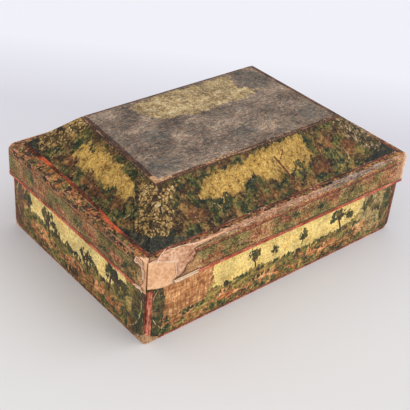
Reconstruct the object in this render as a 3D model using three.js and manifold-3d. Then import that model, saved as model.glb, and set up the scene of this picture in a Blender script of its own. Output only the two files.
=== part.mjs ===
// Wig box of painted pasteboard: a rectangular tray and a deep lid that lifts straight off.
// The lid has an upright skirt that slides down over the tray, a narrow flat ledge, four sloping
// boards mitred at the hips, and a flat top. Painted paper covers the boards, red paper strips
// bind the edges and plain paper lines the inside. The covering is torn from the near left corner
// of the skirt, where the bare boards and their open joint show.
// Millimetres. X runs along the long side, the front is towards -Y, Z is up, and the origin is
// the centre of the underside.
import * as THREE from 'three';
import { mergeVertices } from 'three/addons/utils/BufferGeometryUtils.js';
import Module from 'manifold-3d';

// Tray
const trayLength = 350; // over the painted paper
const trayWidth = 240;
const trayShown = 64; // height of tray below the closed lid
const wallBoard = 3;
const floorBoard = 3;
const trayCorner = 2.5; // radius of the wall boards at the upright corners
const rimBindingDrop = 8; // how far the rim's paper comes down inside

// Lid
const skirtHeight = 36; // lower edge of the lid to the ledge
const skirtBoard = 1.9;
const skirtCorner = 1.8; // radius of the skirt boards at the upright corners
const lidClearance = 0.4; // all round, between the tray's strips and the skirt's lining
const rimClearance = 0.25; // between the tray's rim and the underside of the ledge
const ledgeBoard = 2;
const ledgeBoardWidth = 14; // inwards from the skirt boards, which it is let in between
const ledgeWidth = 10; // the part of the ledge that shows
const slopeBoard = 2.4;
const slopeRise = 39; // ledge to flat top
const frontRun = 44; // how far each slope leans in
const backRun = 40;
const rightRun = 51;
const leftRun = 49; // at the far end of the left slope
const leftRunNear = 37; // at its near end: the flat top was cut out of square

// Papers and what holds them
const paper = 0.3; // painted covering
const strip = 0.2; // red edge strips
const lining = 0.2;
const paste = 0.05; // between a paper and what it is pasted to
const joint = 0.1; // between neighbours that meet edge to edge
const mitreGap = 0.3; // between sloping boards
const openJoint = 0.9; // how far each board has drawn back at the torn corner

// Strips
const cornerStripLong = 8; // leg on the long side
const cornerStripShort = 4; // leg on the short side
const footStripHeight = 3.5;
const lidStripHeight = 3;
const slopeStripWidth = 3;
const topStripWidth = 4;
const stripLift = 0.3; // the lowest strip stays clear of the table

// Wear on the front of the ledge
const ledgeWear = 3; // how far the paper has worn back from the edge
const ledgeWearWave = 0.9;

const segments = 3; // facets in each half of a rounded corner

// Sizes that follow
const trayX = trayLength / 2;
const trayY = trayWidth / 2;
const wallX = trayX - paper - paste; // outer faces of the wall boards
const wallY = trayY - paper - paste;
const insideX = wallX - wallBoard;
const insideY = wallY - wallBoard;
const liningX = insideX - paste - lining; // inner faces of the tray's lining
const liningY = insideY - paste - lining;
const skirtLiningX = trayX + paste + strip + lidClearance + lining; // outer faces of the lid's lining
const skirtLiningY = trayY + paste + strip + lidClearance + lining;
const skirtX = skirtLiningX + paste + skirtBoard; // outer faces of the skirt boards
const skirtY = skirtLiningY + paste + skirtBoard;
const lidX = skirtX + paste + paper; // outer faces of the lid's painted paper
const lidY = skirtY + paste + paper;
const lidBottom = trayShown;
const ledgeTop = lidBottom + skirtHeight;
const ledgeBoardTop = ledgeTop - paper - paste;
const ledgeBoardBottom = ledgeBoardTop - ledgeBoard;
const skirtBoardBottom = lidBottom + strip + paste;
const rimTop = ledgeBoardBottom - rimClearance;
const wallTop = rimTop - strip - paste;
const footX = lidX - ledgeWidth; // foot of the slopes
const footY = lidY - ledgeWidth;
const lidTop = ledgeTop + slopeRise;

// Tear in the skirt's paper. Each point is the distance from the near left corner and the height
// above the lid's lower edge.
const frontTear = [
  [-3, skirtHeight + 3],
  [54, skirtHeight + 3],
  [55, 29],
  [55.5, 23],
  [50.5, 19.3],
  [44.5, 18.6],
  [42.5, 14.5],
  [38, 10.5],
  [33.5, 7.8],
  [29, 6],
  [29.5, 1.8],
  [26, -3],
  [-3, -3],
];
const leftTear = [
  [-3, skirtHeight + 3],
  [11, skirtHeight + 3],
  [16, 33],
  [12.5, 28.4],
  [8, 25.6],
  [5.4, 22.5],
  [5, 16],
  [6.2, 9.6],
  [11, 3.4],
  [18.5, 1.2],
  [19.5, -3],
  [-3, -3],
];
// The same tear on the front of the ledge: distance from the corner, and distance in from the edge.
const ledgeTear = [
  [-3, -3],
  [-3, 1.2],
  [5, 1.6],
  [10.5, 2.8],
  [16, 4.6],
  [22, 8.6],
  [26, 9.2],
  [33, 7.4],
  [41, 5.8],
  [52, 4.4],
  [60, 3],
  [60, -3],
];
// Where the front skirt board has crumbled away below the tear.
const boardChip = [
  [-3, 8.5],
  [3.5, 6.6],
  [9, 4.8],
  [13.5, 1.6],
  [19, -3],
  [-3, -3],
];
const stripLostFront = 29; // red strip gone from the corner, along the front and the left
const stripLostLeft = 18;

const wasm = await Module();
wasm.setup();

const paint = (color, roughness) => new THREE.MeshStandardMaterial({ color, roughness, metalness: 0 });
const colours = {
  board: [0xc9966c, 0.95],
  landscape: [0x7f7434, 0.55],
  skirtPaper: [0x6b5a36, 0.55],
  slopePaper: [0x5d5530, 0.5],
  topPaper: [0x6e6055, 0.6],
  ledgePaper: [0x4f3b2a, 0.6],
  redStrip: [0x8c3a28, 0.6],
  darkStrip: [0x4a2a22, 0.6],
  liningPaper: [0xd8ccb0, 0.9],
};

function makeMesh(name, geometry, colour) {
  geometry.computeVertexNormals();
  const mesh = new THREE.Mesh(geometry, paint(...colours[colour]));
  mesh.name = name;
  return mesh;
}

function toSolid(geometry) {
  const bare = geometry.clone();
  bare.deleteAttribute('normal');
  bare.deleteAttribute('uv');
  const merged = mergeVertices(bare, 1e-4);
  return new wasm.Manifold(new wasm.Mesh({
    numProp: 3,
    vertProperties: new Float32Array(merged.attributes.position.array),
    triVerts: new Uint32Array(merged.index.array),
  }));
}

function toGeometry(solid) {
  const mesh = solid.getMesh();
  const geometry = new THREE.BufferGeometry();
  geometry.setAttribute('position', new THREE.BufferAttribute(mesh.vertProperties, 3));
  geometry.setIndex(new THREE.BufferAttribute(mesh.triVerts, 1));
  return geometry;
}

const cut = (geometry, ...tools) =>
  toGeometry(tools.reduce((solid, tool) => solid.subtract(toSolid(tool)), toSolid(geometry)));

const join = (...parts) =>
  toGeometry(parts.slice(1).reduce((solid, part) => solid.add(toSolid(part)), toSolid(parts[0])));

const extrude = (shape, depth) =>
  new THREE.ExtrudeGeometry(shape, { depth, bevelEnabled: false, curveSegments: 2 * segments });

const shapeOf = (points) => new THREE.Shape(points.map(([x, y]) => new THREE.Vector2(x, y)));

// The four sides, each a quarter turn further round. The start of one is the end of the one before,
// so the near left corner is the start of the front and the end of the left side.
const sides = [
  { name: 'front', turn: 0, long: true },
  { name: 'right', turn: 1, long: false },
  { name: 'back', turn: 2, long: true },
  { name: 'left', turn: 3, long: false },
];

// Half of a rounded corner, as seen from above at the start of a side whose outer face is at
// v = -halfDepth. The gap moves the mitre along the side.
function cornerArc(halfRun, halfDepth, radius, gap) {
  if (radius <= 0) return [[-halfRun + gap, -halfDepth]];
  const start = -Math.PI / 4 - Math.acos(Math.min(1, gap / (Math.SQRT2 * radius)));
  const points = [];
  for (let i = 0; i <= segments; i += 1) {
    const angle = start + ((-Math.PI / 2 - start) * i) / segments;
    points.push([
      -halfRun + radius + radius * Math.cos(angle),
      -halfDepth + radius + radius * Math.sin(angle),
    ]);
  }
  return points;
}

// Plan of a board or sheet along one side of a rectangle, mitred at both ends.
function sideOutline(halfRun, halfDepth, radius, thickness, startGap, endGap) {
  const innerRadius = Math.max(0, radius - thickness);
  const mirror = (points) => points.map(([u, v]) => [-u, v]).reverse();
  const arc = (inset, r, gap) => cornerArc(halfRun - inset, halfDepth - inset, r, gap);
  return [
    ...arc(0, radius, startGap),
    ...mirror(arc(0, radius, endGap)),
    ...mirror(arc(thickness, innerRadius, endGap)).reverse(),
    ...arc(thickness, innerRadius, startGap).reverse(),
  ];
}

// An upright board or sheet on each of the four sides of a rectangle. Gaps can differ at the near
// left corner, and a function may cut the finished geometry, which is still in the side's own frame.
function fourSides(label, halfX, halfY, size, colour, change = (geometry) => geometry) {
  const { radius = 0, thickness, bottom, top, gap = joint / 2, nearGap = gap } = size;
  return sides.map((side) => {
    const halfRun = side.long ? halfX : halfY;
    const halfDepth = side.long ? halfY : halfX;
    const startGap = side.name === 'front' ? nearGap : gap;
    const endGap = side.name === 'left' ? nearGap : gap;
    const outline = sideOutline(halfRun, halfDepth, radius, thickness, startGap, endGap);
    const geometry = change(extrude(shapeOf(outline), top - bottom), side, halfRun, halfDepth, bottom);
    const mesh = makeMesh(label(side.name), geometry, colour);
    mesh.rotation.z = (side.turn * Math.PI) / 2;
    mesh.position.z = bottom;
    return mesh;
  });
}

// A prism through an upright side, from an outline in distance from the near left corner and
// height above the lid's lower edge.
function tearPrism(points, side, halfRun, halfDepth, bottom) {
  const along = side.name === 'front' ? (u) => u - halfRun : (u) => halfRun - u;
  const reach = 8;
  const prism = extrude(shapeOf(points.map(([u, z]) => [along(u), z + lidBottom - bottom])), reach);
  prism.rotateX(Math.PI / 2);
  prism.translate(0, -halfDepth + reach / 2, 0);
  return prism;
}

const quarter = Math.PI / 2;

function rectangle(halfX, halfY) {
  return shapeOf([[-halfX, -halfY], [halfX, -halfY], [halfX, halfY], [-halfX, halfY]]);
}

function roundedRectangle(halfX, halfY, radius) {
  const shape = new THREE.Shape();
  shape.absarc(halfX - radius, radius - halfY, radius, -quarter, 0);
  shape.absarc(halfX - radius, halfY - radius, radius, 0, quarter);
  shape.absarc(radius - halfX, halfY - radius, radius, quarter, 2 * quarter);
  shape.absarc(radius - halfX, radius - halfY, radius, 2 * quarter, 3 * quarter);
  return shape;
}

// A flat ring between two outlines, raised from z = bottom to z = top.
function ring(outer, inner, bottom, top) {
  outer.holes.push(inner);
  return extrude(outer, top - bottom).translate(0, 0, bottom);
}

// A closed solid through a row of four-cornered sections. Opposite sides are divided alike, so that
// a twisted sheet lies evenly on the twisted board under it.
function loft(sections) {
  const points = sections.flat();
  const faces = [];
  for (let i = 0; i + 1 < sections.length; i += 1) {
    for (let k = 0; k < 4; k += 1) {
      const a = 4 * i + k;
      const b = 4 * i + ((k + 1) % 4);
      if (k < 2) faces.push([a, b, b + 4], [a, b + 4, a + 4]);
      else faces.push([a, b, a + 4], [b, b + 4, a + 4]);
    }
  }
  const end = points.length - 4;
  faces.push([0, 2, 1], [0, 3, 2], [end, end + 1, end + 2], [end, end + 2, end + 3]);
  const volume = faces.reduce(
    (sum, [a, b, c]) => sum + points[a].dot(points[b].clone().cross(points[c])),
    0,
  );
  const outward = volume > 0 ? faces : faces.map(([a, b, c]) => [a, c, b]);
  const geometry = new THREE.BufferGeometry().setFromPoints(points);
  geometry.setIndex(outward.flat());
  return geometry;
}

// The four hips, from the ledge to the flat top. Each slope leans in by its own run, and the left
// slope twists a little because its two ends lean in by different amounts.
const hips = {
  nearLeft: { x: -1, y: -1, runX: leftRunNear, runY: frontRun },
  nearRight: { x: 1, y: -1, runX: rightRun, runY: frontRun },
  farRight: { x: 1, y: 1, runX: rightRun, runY: backRun },
  farLeft: { x: -1, y: 1, runX: leftRun, runY: backRun },
};

// Where a hip stands at height z, on the surface that lies a depth below the finished one.
function hipPoint(hip, z, depth, pull = 0) {
  const inset = (run) => ((z - ledgeTop) * run + depth * Math.hypot(run, slopeRise)) / slopeRise;
  return new THREE.Vector3(
    hip.x * (footX - inset(hip.runX) - pull),
    hip.y * (footY - inset(hip.runY) - pull),
    z,
  );
}

// A sloping board or sheet between two depths, mitred to its neighbours and to the flat top.
function slope(from, to, outer, inner, foot, gap, steps = 1) {
  const section = (hip) => [
    hipPoint(hip, foot, outer),
    hipPoint(hip, lidTop - outer - gap / 2, outer),
    hipPoint(hip, lidTop - inner - gap / 2, inner),
    hipPoint(hip, foot, inner),
  ];
  const first = section(from);
  const last = section(to);
  const trim = gap / 2 / first[0].distanceTo(last[0]);
  const sections = [];
  for (let i = 0; i <= steps; i += 1) {
    const t = trim + ((1 - 2 * trim) * i) / steps;
    sections.push(first.map((point, k) => point.clone().lerp(last[k], t)));
  }
  return loft(sections);
}

// The flat top between two depths, with the same mitres.
function flatTop(outer, inner, gap) {
  const pair = (hip) => [
    hipPoint(hip, lidTop - outer, outer, gap / 2),
    hipPoint(hip, lidTop - inner, inner, gap / 2),
  ];
  const end = (near, far) => [...pair(near), ...pair(far).reverse()];
  return loft([end(hips.nearLeft, hips.farLeft), end(hips.nearRight, hips.farRight)]);
}

const topOutline = (inset) =>
  shapeOf(Object.values(hips).map((hip) => {
    const point = hipPoint(hip, lidTop, 0, inset);
    return [point.x, point.y];
  }));

// Tray
const tray = new THREE.Group();

const floorBoardPlan = rectangle(insideX - joint, insideY - joint);
tray.add(makeMesh('tray_floor_board', extrude(floorBoardPlan, floorBoard), 'board'));

const wallSize = { radius: trayCorner, thickness: wallBoard, bottom: 0, top: wallTop };
tray.add(...fourSides((side) => `tray_wall_${side}`, wallX, wallY, wallSize, 'board'));

const trayPaperSize = {
  radius: trayCorner + paste + paper,
  thickness: paper,
  bottom: stripLift,
  top: wallTop,
};
tray.add(...fourSides((side) => `tray_paper_${side}`, trayX, trayY, trayPaperSize, 'landscape'));

const floorLiningBottom = floorBoard + paste;
const floorLining = extrude(rectangle(insideX - paste, insideY - paste), lining);
floorLining.translate(0, 0, floorLiningBottom);
tray.add(makeMesh('tray_floor_lining', floorLining, 'liningPaper'));

const wallLiningSize = { thickness: lining, bottom: floorLiningBottom + lining + joint, top: wallTop };
tray.add(...fourSides(
  (side) => `tray_lining_${side}`,
  insideX - paste,
  insideY - paste,
  wallLiningSize,
  'liningPaper',
));

// A strip folded round an upright corner of the tray, over the painted paper.
function cornerStrip(x, y) {
  const outer = trayCorner + 2 * paste + paper + strip;
  const halfX = trayX + paste + strip;
  const halfY = trayY + paste + strip;
  const arc = (radius) => {
    const points = [];
    for (let i = 0; i <= 2 * segments; i += 1) {
      const angle = (quarter * i) / (2 * segments);
      points.push([
        halfX - outer + radius * Math.sin(angle),
        halfY - outer + radius * Math.cos(angle),
      ]);
    }
    return points;
  };
  const outline = [
    [halfX - cornerStripLong, halfY],
    ...arc(outer),
    [halfX, halfY - cornerStripShort],
    [halfX - strip, halfY - cornerStripShort],
    ...arc(outer - strip).reverse(),
    [halfX - cornerStripLong, halfY - strip],
  ];
  const bottom = stripLift + footStripHeight + joint;
  const geometry = extrude(shapeOf(outline.map(([u, v]) => [x * u, y * v])), wallTop - bottom);
  const ends = `${y < 0 ? 'front' : 'back'}_${x < 0 ? 'left' : 'right'}`;
  return makeMesh(`tray_corner_strip_${ends}`, geometry.translate(0, 0, bottom), 'redStrip');
}
tray.add(cornerStrip(-1, -1), cornerStrip(1, -1), cornerStrip(1, 1), cornerStrip(-1, 1));

const trayPaperRadius = trayCorner + paste + paper;
tray.add(makeMesh('tray_foot_strip', ring(
  roundedRectangle(trayX + paste + strip, trayY + paste + strip, trayPaperRadius + paste + strip),
  roundedRectangle(trayX + paste, trayY + paste, trayPaperRadius + paste),
  stripLift,
  stripLift + footStripHeight,
), 'redStrip'));

const bindingX = liningX - paste - strip;
const bindingY = liningY - paste - strip;
const overRim = ring(
  roundedRectangle(trayX, trayY, trayPaperRadius),
  rectangle(bindingX, bindingY),
  rimTop - strip,
  rimTop,
);
const insideRim = ring(
  rectangle(bindingX + strip, bindingY + strip),
  rectangle(bindingX, bindingY),
  rimTop - rimBindingDrop,
  rimTop,
);
tray.add(makeMesh('tray_rim_binding', join(overRim, insideRim), 'redStrip'));

// Lid
const lid = new THREE.Group();

const skirtSize = {
  radius: skirtCorner,
  thickness: skirtBoard,
  bottom: skirtBoardBottom,
  top: ledgeBoardTop,
  nearGap: openJoint,
};
const tearFrom = (outlines) => (geometry, side, ...place) => {
  const outline = outlines[side.name];
  return outline ? cut(geometry, tearPrism(outline, side, ...place)) : geometry;
};
lid.add(...fourSides(
  (side) => `skirt_board_${side}`,
  skirtX,
  skirtY,
  skirtSize,
  'board',
  tearFrom({ front: boardChip }),
));

const lidPaperRadius = skirtCorner + paste + paper;
const skirtPaperSize = {
  radius: lidPaperRadius,
  thickness: paper,
  bottom: skirtBoardBottom,
  top: ledgeTop,
};
lid.add(...fourSides(
  (side) => `skirt_paper_${side}`,
  lidX,
  lidY,
  skirtPaperSize,
  'skirtPaper',
  tearFrom({ front: frontTear, left: leftTear }),
));

const skirtLiningSize = { thickness: lining, bottom: skirtBoardBottom, top: ledgeBoardBottom - joint };
lid.add(...fourSides(
  (side) => `skirt_lining_${side}`,
  skirtLiningX,
  skirtLiningY,
  skirtLiningSize,
  'liningPaper',
));

const ledgeSize = { thickness: ledgeBoardWidth, bottom: ledgeBoardBottom, top: ledgeBoardTop };
lid.add(...fourSides(
  (side) => `ledge_board_${side}`,
  skirtX - skirtBoard - joint,
  skirtY - skirtBoard - joint,
  ledgeSize,
  'board',
));

// The front of the ledge's paper has worn back from the edge in shallow waves, and is torn at the
// near left corner.
function wearLedge(geometry, side, halfRun, halfDepth) {
  if (side.name !== 'front') return geometry;
  const from = -halfRun + ledgeTear.at(-1)[0] - 2;
  const to = halfRun - 2 * ledgeWidth;
  const waves = 20;
  const worn = [[to, -halfDepth - 1], [from, -halfDepth - 1]];
  for (let i = 0; i <= waves; i += 1) {
    const u = from + ((to - from) * i) / waves;
    const depth = ledgeWear + ledgeWearWave * (Math.sin(u / 9) + 0.6 * Math.sin(u / 4.3 + 1));
    worn.push([u, -halfDepth + depth * (i < waves ? 1 : 0.2)]);
  }
  const torn = ledgeTear.map(([u, v]) => [u - halfRun, v - halfDepth]);
  const prism = (points) => extrude(shapeOf(points), 4).translate(0, 0, -2);
  return cut(geometry, prism(worn), prism(torn));
}

const ledgePaperInset = paper + joint;
const ledgePaperSize = {
  radius: skirtCorner,
  thickness: ledgeWidth - ledgePaperInset - joint,
  bottom: ledgeBoardTop + paste,
  top: ledgeTop,
};
lid.add(...fourSides(
  (side) => `ledge_paper_${side}`,
  lidX - ledgePaperInset,
  lidY - ledgePaperInset,
  ledgePaperSize,
  'ledgePaper',
  wearLedge,
));

const slopes = [
  { name: 'front', from: hips.nearLeft, to: hips.nearRight, steps: 1 },
  { name: 'right', from: hips.nearRight, to: hips.farRight, steps: 1 },
  { name: 'back', from: hips.farRight, to: hips.farLeft, steps: 1 },
  { name: 'left', from: hips.farLeft, to: hips.nearLeft, steps: 8 },
];
const boardDepth = paper + paste;
const liningDepth = boardDepth + slopeBoard + paste;
slopes.forEach(({ name, from, to, steps }) => {
  lid.add(
    makeMesh(
      `slope_board_${name}`,
      slope(from, to, boardDepth, boardDepth + slopeBoard, ledgeBoardTop, mitreGap, steps),
      'board',
    ),
    makeMesh(
      `slope_paper_${name}`,
      slope(from, to, 0, paper, ledgeTop + paste, joint, steps),
      'slopePaper',
    ),
    makeMesh(
      `slope_lining_${name}`,
      slope(from, to, liningDepth, liningDepth + lining, ledgeBoardTop + paste, joint, steps),
      'liningPaper',
    ),
  );
});

lid.add(
  makeMesh('top_board', flatTop(boardDepth, boardDepth + slopeBoard, mitreGap), 'board'),
  makeMesh('top_paper', flatTop(0, paper, joint), 'topPaper'),
  makeMesh('top_lining', flatTop(liningDepth, liningDepth + lining, joint), 'liningPaper'),
);

// The strip along the lid's lower edge turns under it, and is lost round the torn corner.
const lidStripX = lidX + paste + strip;
const lidStripY = lidY + paste + strip;
const lidStripRadius = lidPaperRadius + paste + strip;
const lostCorner = extrude(shapeOf([
  [-lidX - 5, -lidY - 5],
  [stripLostFront - lidX, -lidY - 5],
  [stripLostFront - lidX - 3, stripLostLeft - lidY],
  [-lidX - 5, stripLostLeft - lidY + 3],
]), 4 * lidStripHeight).translate(0, 0, lidBottom - lidStripHeight);
lid.add(makeMesh('lid_edge_strip', cut(join(
  ring(
    roundedRectangle(lidStripX, lidStripY, lidStripRadius),
    roundedRectangle(lidX + paste, lidY + paste, lidPaperRadius + paste),
    lidBottom,
    lidBottom + lidStripHeight,
  ),
  ring(
    roundedRectangle(lidStripX, lidStripY, lidStripRadius),
    rectangle(skirtX - skirtBoard, skirtY - skirtBoard),
    lidBottom,
    lidBottom + strip,
  ),
), lostCorner), 'redStrip'));

lid.add(makeMesh('slope_foot_strip', ring(
  rectangle(footX + joint + slopeStripWidth, footY + joint + slopeStripWidth),
  rectangle(footX + joint, footY + joint),
  ledgeTop + paste,
  ledgeTop + paste + strip,
), 'redStrip'));

lid.add(makeMesh('top_edge_strip', ring(
  topOutline(joint),
  topOutline(joint + topStripWidth),
  lidTop + paste,
  lidTop + paste + strip,
), 'darkStrip'));

const wigBox = new THREE.Group();
wigBox.add(tray, lid);

export default wigBox;
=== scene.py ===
import math
import random

import bpy
import numpy as np
from mathutils import Matrix, Vector, noise
from mathutils.geometry import delaunay_2d_cdt


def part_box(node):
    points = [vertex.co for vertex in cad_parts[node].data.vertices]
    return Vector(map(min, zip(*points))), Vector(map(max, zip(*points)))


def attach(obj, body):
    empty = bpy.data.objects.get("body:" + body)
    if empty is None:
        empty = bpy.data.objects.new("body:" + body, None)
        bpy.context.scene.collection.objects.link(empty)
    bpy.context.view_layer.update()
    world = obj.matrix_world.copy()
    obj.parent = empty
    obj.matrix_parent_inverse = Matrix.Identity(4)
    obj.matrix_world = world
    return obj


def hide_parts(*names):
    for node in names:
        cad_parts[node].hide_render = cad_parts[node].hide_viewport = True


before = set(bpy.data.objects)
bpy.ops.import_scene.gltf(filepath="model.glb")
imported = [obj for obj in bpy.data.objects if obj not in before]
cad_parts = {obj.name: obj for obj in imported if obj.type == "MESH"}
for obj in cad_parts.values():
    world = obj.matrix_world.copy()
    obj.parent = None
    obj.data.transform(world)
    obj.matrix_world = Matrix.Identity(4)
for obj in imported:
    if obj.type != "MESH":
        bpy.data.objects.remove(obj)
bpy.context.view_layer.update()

MM = 1000.0


def low(node):
    return np.array(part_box(node)[0]) * MM


def high(node):
    return np.array(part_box(node)[1]) * MM


# Sizes read from the frame
TRAY_X = high("tray_paper_right")[0]
TRAY_Y = high("tray_paper_back")[1]
TRAY_TOP = high("tray_paper_front")[2]
PAPER_FOOT = low("tray_paper_front")[2]
FOOT_STRIP_TOP = high("tray_foot_strip")[2]
LID_X = high("skirt_paper_right")[0]
LID_Y = high("skirt_paper_back")[1]
LID_FOOT = low("lid_edge_strip")[2]
LID_STRIP_TOP = high("lid_edge_strip")[2]
LEDGE_Z = high("ledge_paper_back")[2]
FOOT_X = high("slope_paper_right")[0]
FOOT_Y = high("slope_paper_back")[1]
TOP_Z = high("top_paper")[2]
SKIRT_INSIDE = LID_X - low("skirt_board_right")[0]
WALL_INSIDE = TRAY_X - low("tray_wall_right")[0]
FOOT_STRIP_WIDTH = high("slope_foot_strip")[0] - FOOT_X
LEDGE_WIDTH = LID_X - FOOT_X - 0.1

# Sizes that the frame's boxes don't give
PAPER = 0.3
STRIP = 0.2
PASTE = 0.05
UNDER_PAPER = PAPER + PASTE
OVER_PAPER = PASTE + STRIP
TRAY_RADIUS = 2.85
LID_RADIUS = 2.15
LONG_LEG = 8.0  # of the corner strips, along the tray's long sides
SHORT_LEG = 4.0
OPEN_JOINT = 0.9
TOP_EDGE_INSET = 0.046  # of the way from the flat top's corners to its middle
LOWER_STRIP_START = 60  # from the near left corner, along the front
LOWER_STRIP_END = 19  # from the same corner, along the left side
LOWER_STRIP_TURN = 1.8  # in under the skirt

# Half length, half width and corner radius
TRAY = (TRAY_X, TRAY_Y, TRAY_RADIUS)
LID = (LID_X, LID_Y, LID_RADIUS)

SIDES = ("front", "right", "back", "left")
LONG_SIDES = ("front", "back")
OUTWARDS = ((0, -1), (1, 0), (0, 1), (-1, 0))  # from each side in turn
CORNERS = ((-1, -1), (1, -1), (1, 1), (-1, 1))  # near left first, then anticlockwise from above
QUARTER = math.pi / 2

# How far corners and upper edges are pressed in. Lists follow CORNERS or SIDES.
TRAY_FOOT_WEAR = (1.3, 4.4, 1.8, 1.8)
LID_TOP_WEAR = (1.0, 4.4, 2.2, 3.3)
LID_FOOT_WEAR = (0.2, 2.4, 1.0, 1.2)
LID_EDGE_WEAR = (0.9, 1.5, 0.3, 0.5)
RIGHT_CORNER_WEAR = 2.3  # the lid's upright corner at the near right
TOP_EDGE_WEAR = 0.22


# The tear in the covering at the near left corner: distance from the corner along the front or
# the left side, and height or, on the ledge, distance in. The torn ply bends over just above its
# shoulder.
FRONT_TEAR = [(53, 96), (56.2, 88), (52.6, 82.2), (45.6, 80), (43.6, 74), (36.4, 70), (30.6, 68.4),
              (31.4, 65.6), (33, 62)]
PLY_TEAR = [(2.4, 101), (10.4, 97.8), (21, 93.2), (31.8, 88.6), (33, 82), (34, 75.4), (32, 68), (30.6, 62)]
LEFT_TEAR = [(14, 101), (16.4, 97), (15, 92.6), (9, 92), (5.8, 89), (4.2, 81), (6, 74), (10, 68), (17, 66),
             (18.4, 62)]
LEDGE_TEAR = [(1, 0.6), (6, 0.9), (11, 1.2), (16, 3.4), (21.5, 6.8), (26, 8.9), (29.6, 9.2), (32.4, 6),
              (38, 6.4), (45, 4.4), (52, 2.6), (58, 2)]
LEFT_LEDGE_TEAR = [(15, 0.4), (10.5, 3.4), (8.6, 6.6)]
PLY_SHOULDER = 97.6
BOARD_CHIP = [(0, 69.6), (3.2, 69.2), (9, 67), (14.6, 65.4), (19, 62)]

# The front papers' rubbed upper edge, from the right end: place along it, and the skirt paper's
# height or the ledge paper's distance in
WORN_SKIRT_TOP = [(150, 99.9), (128, 99.8), (92, 99.8), (52, 99.4), (20, 99.6), (-24, 99.2), (-70, 99.3),
                  (-104, 98)]
WORN_LEDGE_EDGE = [(150, 0.4), (128, 0.5), (92, 0.4), (52, 0.7), (20, 0.5), (-24, 0.8), (-70, 0.6),
                   (-100, 1.1)]

# Ragged bits of covering that still hang at the tear: side, outline as above, and how far they curl out
FLAPS = [
    ("left", [(16.6, 98.6), (13, 100), (9.6, 98.2), (6.2, 99), (5, 94.6), (8.4, 92.6), (12.4, 93.8),
              (16, 93)], 2.2),
    ("left", [(7.4, 92), (4.6, 91), (3.6, 84), (4.6, 79), (6, 82), (7, 87)], 1.4),
    ("left", [(18.4, 66.4), (12, 68.4), (6.4, 69), (3.8, 67.6), (5, 64.6), (9.4, 65.4), (14, 64.2)], 2.4),
    ("front", [(30.4, 68.8), (36, 66.4), (46, 65.4), (60, 66.6), (60, 65), (44, 63.8), (34, 64.2)], 1.0),
]


# Noise and distance on arrays of points

def wave(points, size, shift=0.0):
    """Smooth noise from -1 to 1 at each point, with features of about the given size."""
    flat = np.atleast_2d(points)
    flat = np.hstack([flat, np.zeros((len(flat), 3 - flat.shape[1]))]) / size + shift
    return np.array([noise.noise(Vector(p)) for p in flat])


def line_distance(points, line):
    """Distance of each point from a line through several points."""
    best = np.full(len(points), 1e9)
    for a, b in zip(np.array(line[:-1], float), np.array(line[1:], float)):
        run = b - a
        along = np.clip((points - a) @ run / (run @ run), 0, 1)
        best = np.minimum(best, np.linalg.norm(points - a - along[:, None] * run, axis=1))
    return best


def inside(points, outline):
    """Whether each point is inside the outline."""
    x, y = points.T
    hit = np.zeros(len(points), bool)
    for (ax, ay), (bx, by) in zip(outline, np.roll(outline, -1, axis=0)):
        crosses = (ay > y) != (by > y)
        if crosses.any():
            hit ^= crosses & (x < (bx - ax) * (y - ay) / (by - ay + 1e-12) + ax)
    return hit


def outline(corners, rough=0.08, step=1.4, seed=0.0):
    """A closed outline through the corners, with small irregularities. Rough may be a list, one
    value for each edge."""
    corners = np.array(corners, float)
    roughs = rough if isinstance(rough, (list, tuple)) else [rough] * len(corners)
    made = []
    for a, b, amount in zip(corners, np.roll(corners, -1, axis=0), roughs):
        run = b - a
        count = max(1, math.ceil(np.linalg.norm(run) / step))
        t = np.arange(count) / count
        line = a + t[:, None] * run
        normal = np.array([-run[1], run[0]]) / np.linalg.norm(run)
        fade = np.minimum(1, 6 * np.minimum(t, 1 - t) + 0.15)
        shake = 0.65 * wave(line, 5.0, seed) + 0.35 * wave(line, 1.7, seed + 9)
        made.append(line + normal * (amount * fade * shake * 1.6)[:, None])
    return np.concatenate(made)


# Wear of the box's corners and edges

def shaved(points, corner, direction, cut, soft):
    """Points pressed back to a plane that cuts off the corner, with a soft bend."""
    direction = np.array(direction, float) / np.linalg.norm(direction)
    over = (points - np.array(corner)) @ direction + cut
    return points - direction * (0.5 * (over + np.sqrt(over * over + soft * soft)))[:, None]


def tray_wear(points, depth):
    for (x, y), cut in zip(CORNERS, TRAY_FOOT_WEAR):
        points = shaved(points, (x * TRAY_X, y * TRAY_Y, 0), (x, y, -1), cut + depth, soft=0.8)
    return points


def lid_wear(points, depth):
    for (x, y), top, foot in zip(CORNERS, LID_TOP_WEAR, LID_FOOT_WEAR):
        points = shaved(points, (x * LID_X, y * LID_Y, LEDGE_Z), (x, y, 1), top + depth, soft=0.9)
        points = shaved(points, (x * LID_X, y * LID_Y, LID_FOOT), (x, y, -1), foot + depth, soft=0.7)
    points = shaved(points, (LID_X, -LID_Y, 0), (1, -1, 0), RIGHT_CORNER_WEAR + depth, soft=1.4)
    for (x, y), cut in zip(OUTWARDS, LID_EDGE_WEAR):
        points = shaved(points, (x * LID_X, y * LID_Y, LEDGE_Z), (x, y, 1), cut + depth, soft=0.7)
    return points


def roof_wear(points, depth):
    for k in range(4):
        a, b = TOP_CORNERS[k], TOP_CORNERS[(k + 1) % 4]
        middle, foot = (a + b) / 2, (FOOT_CORNERS[k] + FOOT_CORNERS[(k + 1) % 4]) / 2
        out = np.array([b[1] - a[1], a[0] - b[0], 0]) / math.dist(a, b)
        lean = abs((foot - middle) @ out) / (TOP_Z - LEDGE_Z)
        slope = (out + np.array([0, 0, lean])) / math.hypot(1, lean)
        points = shaved(points, middle, slope + np.array([0, 0, 1]), TOP_EDGE_WEAR + depth, soft=0.5)
    return points


# Sheets

def along_out(side, x, y):
    """The one of two values that runs along a side, then the one that points out of it."""
    return (x, y) if side in LONG_SIDES else (y, x)


def grown(size, out):
    return tuple(value + out for value in size)


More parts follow.
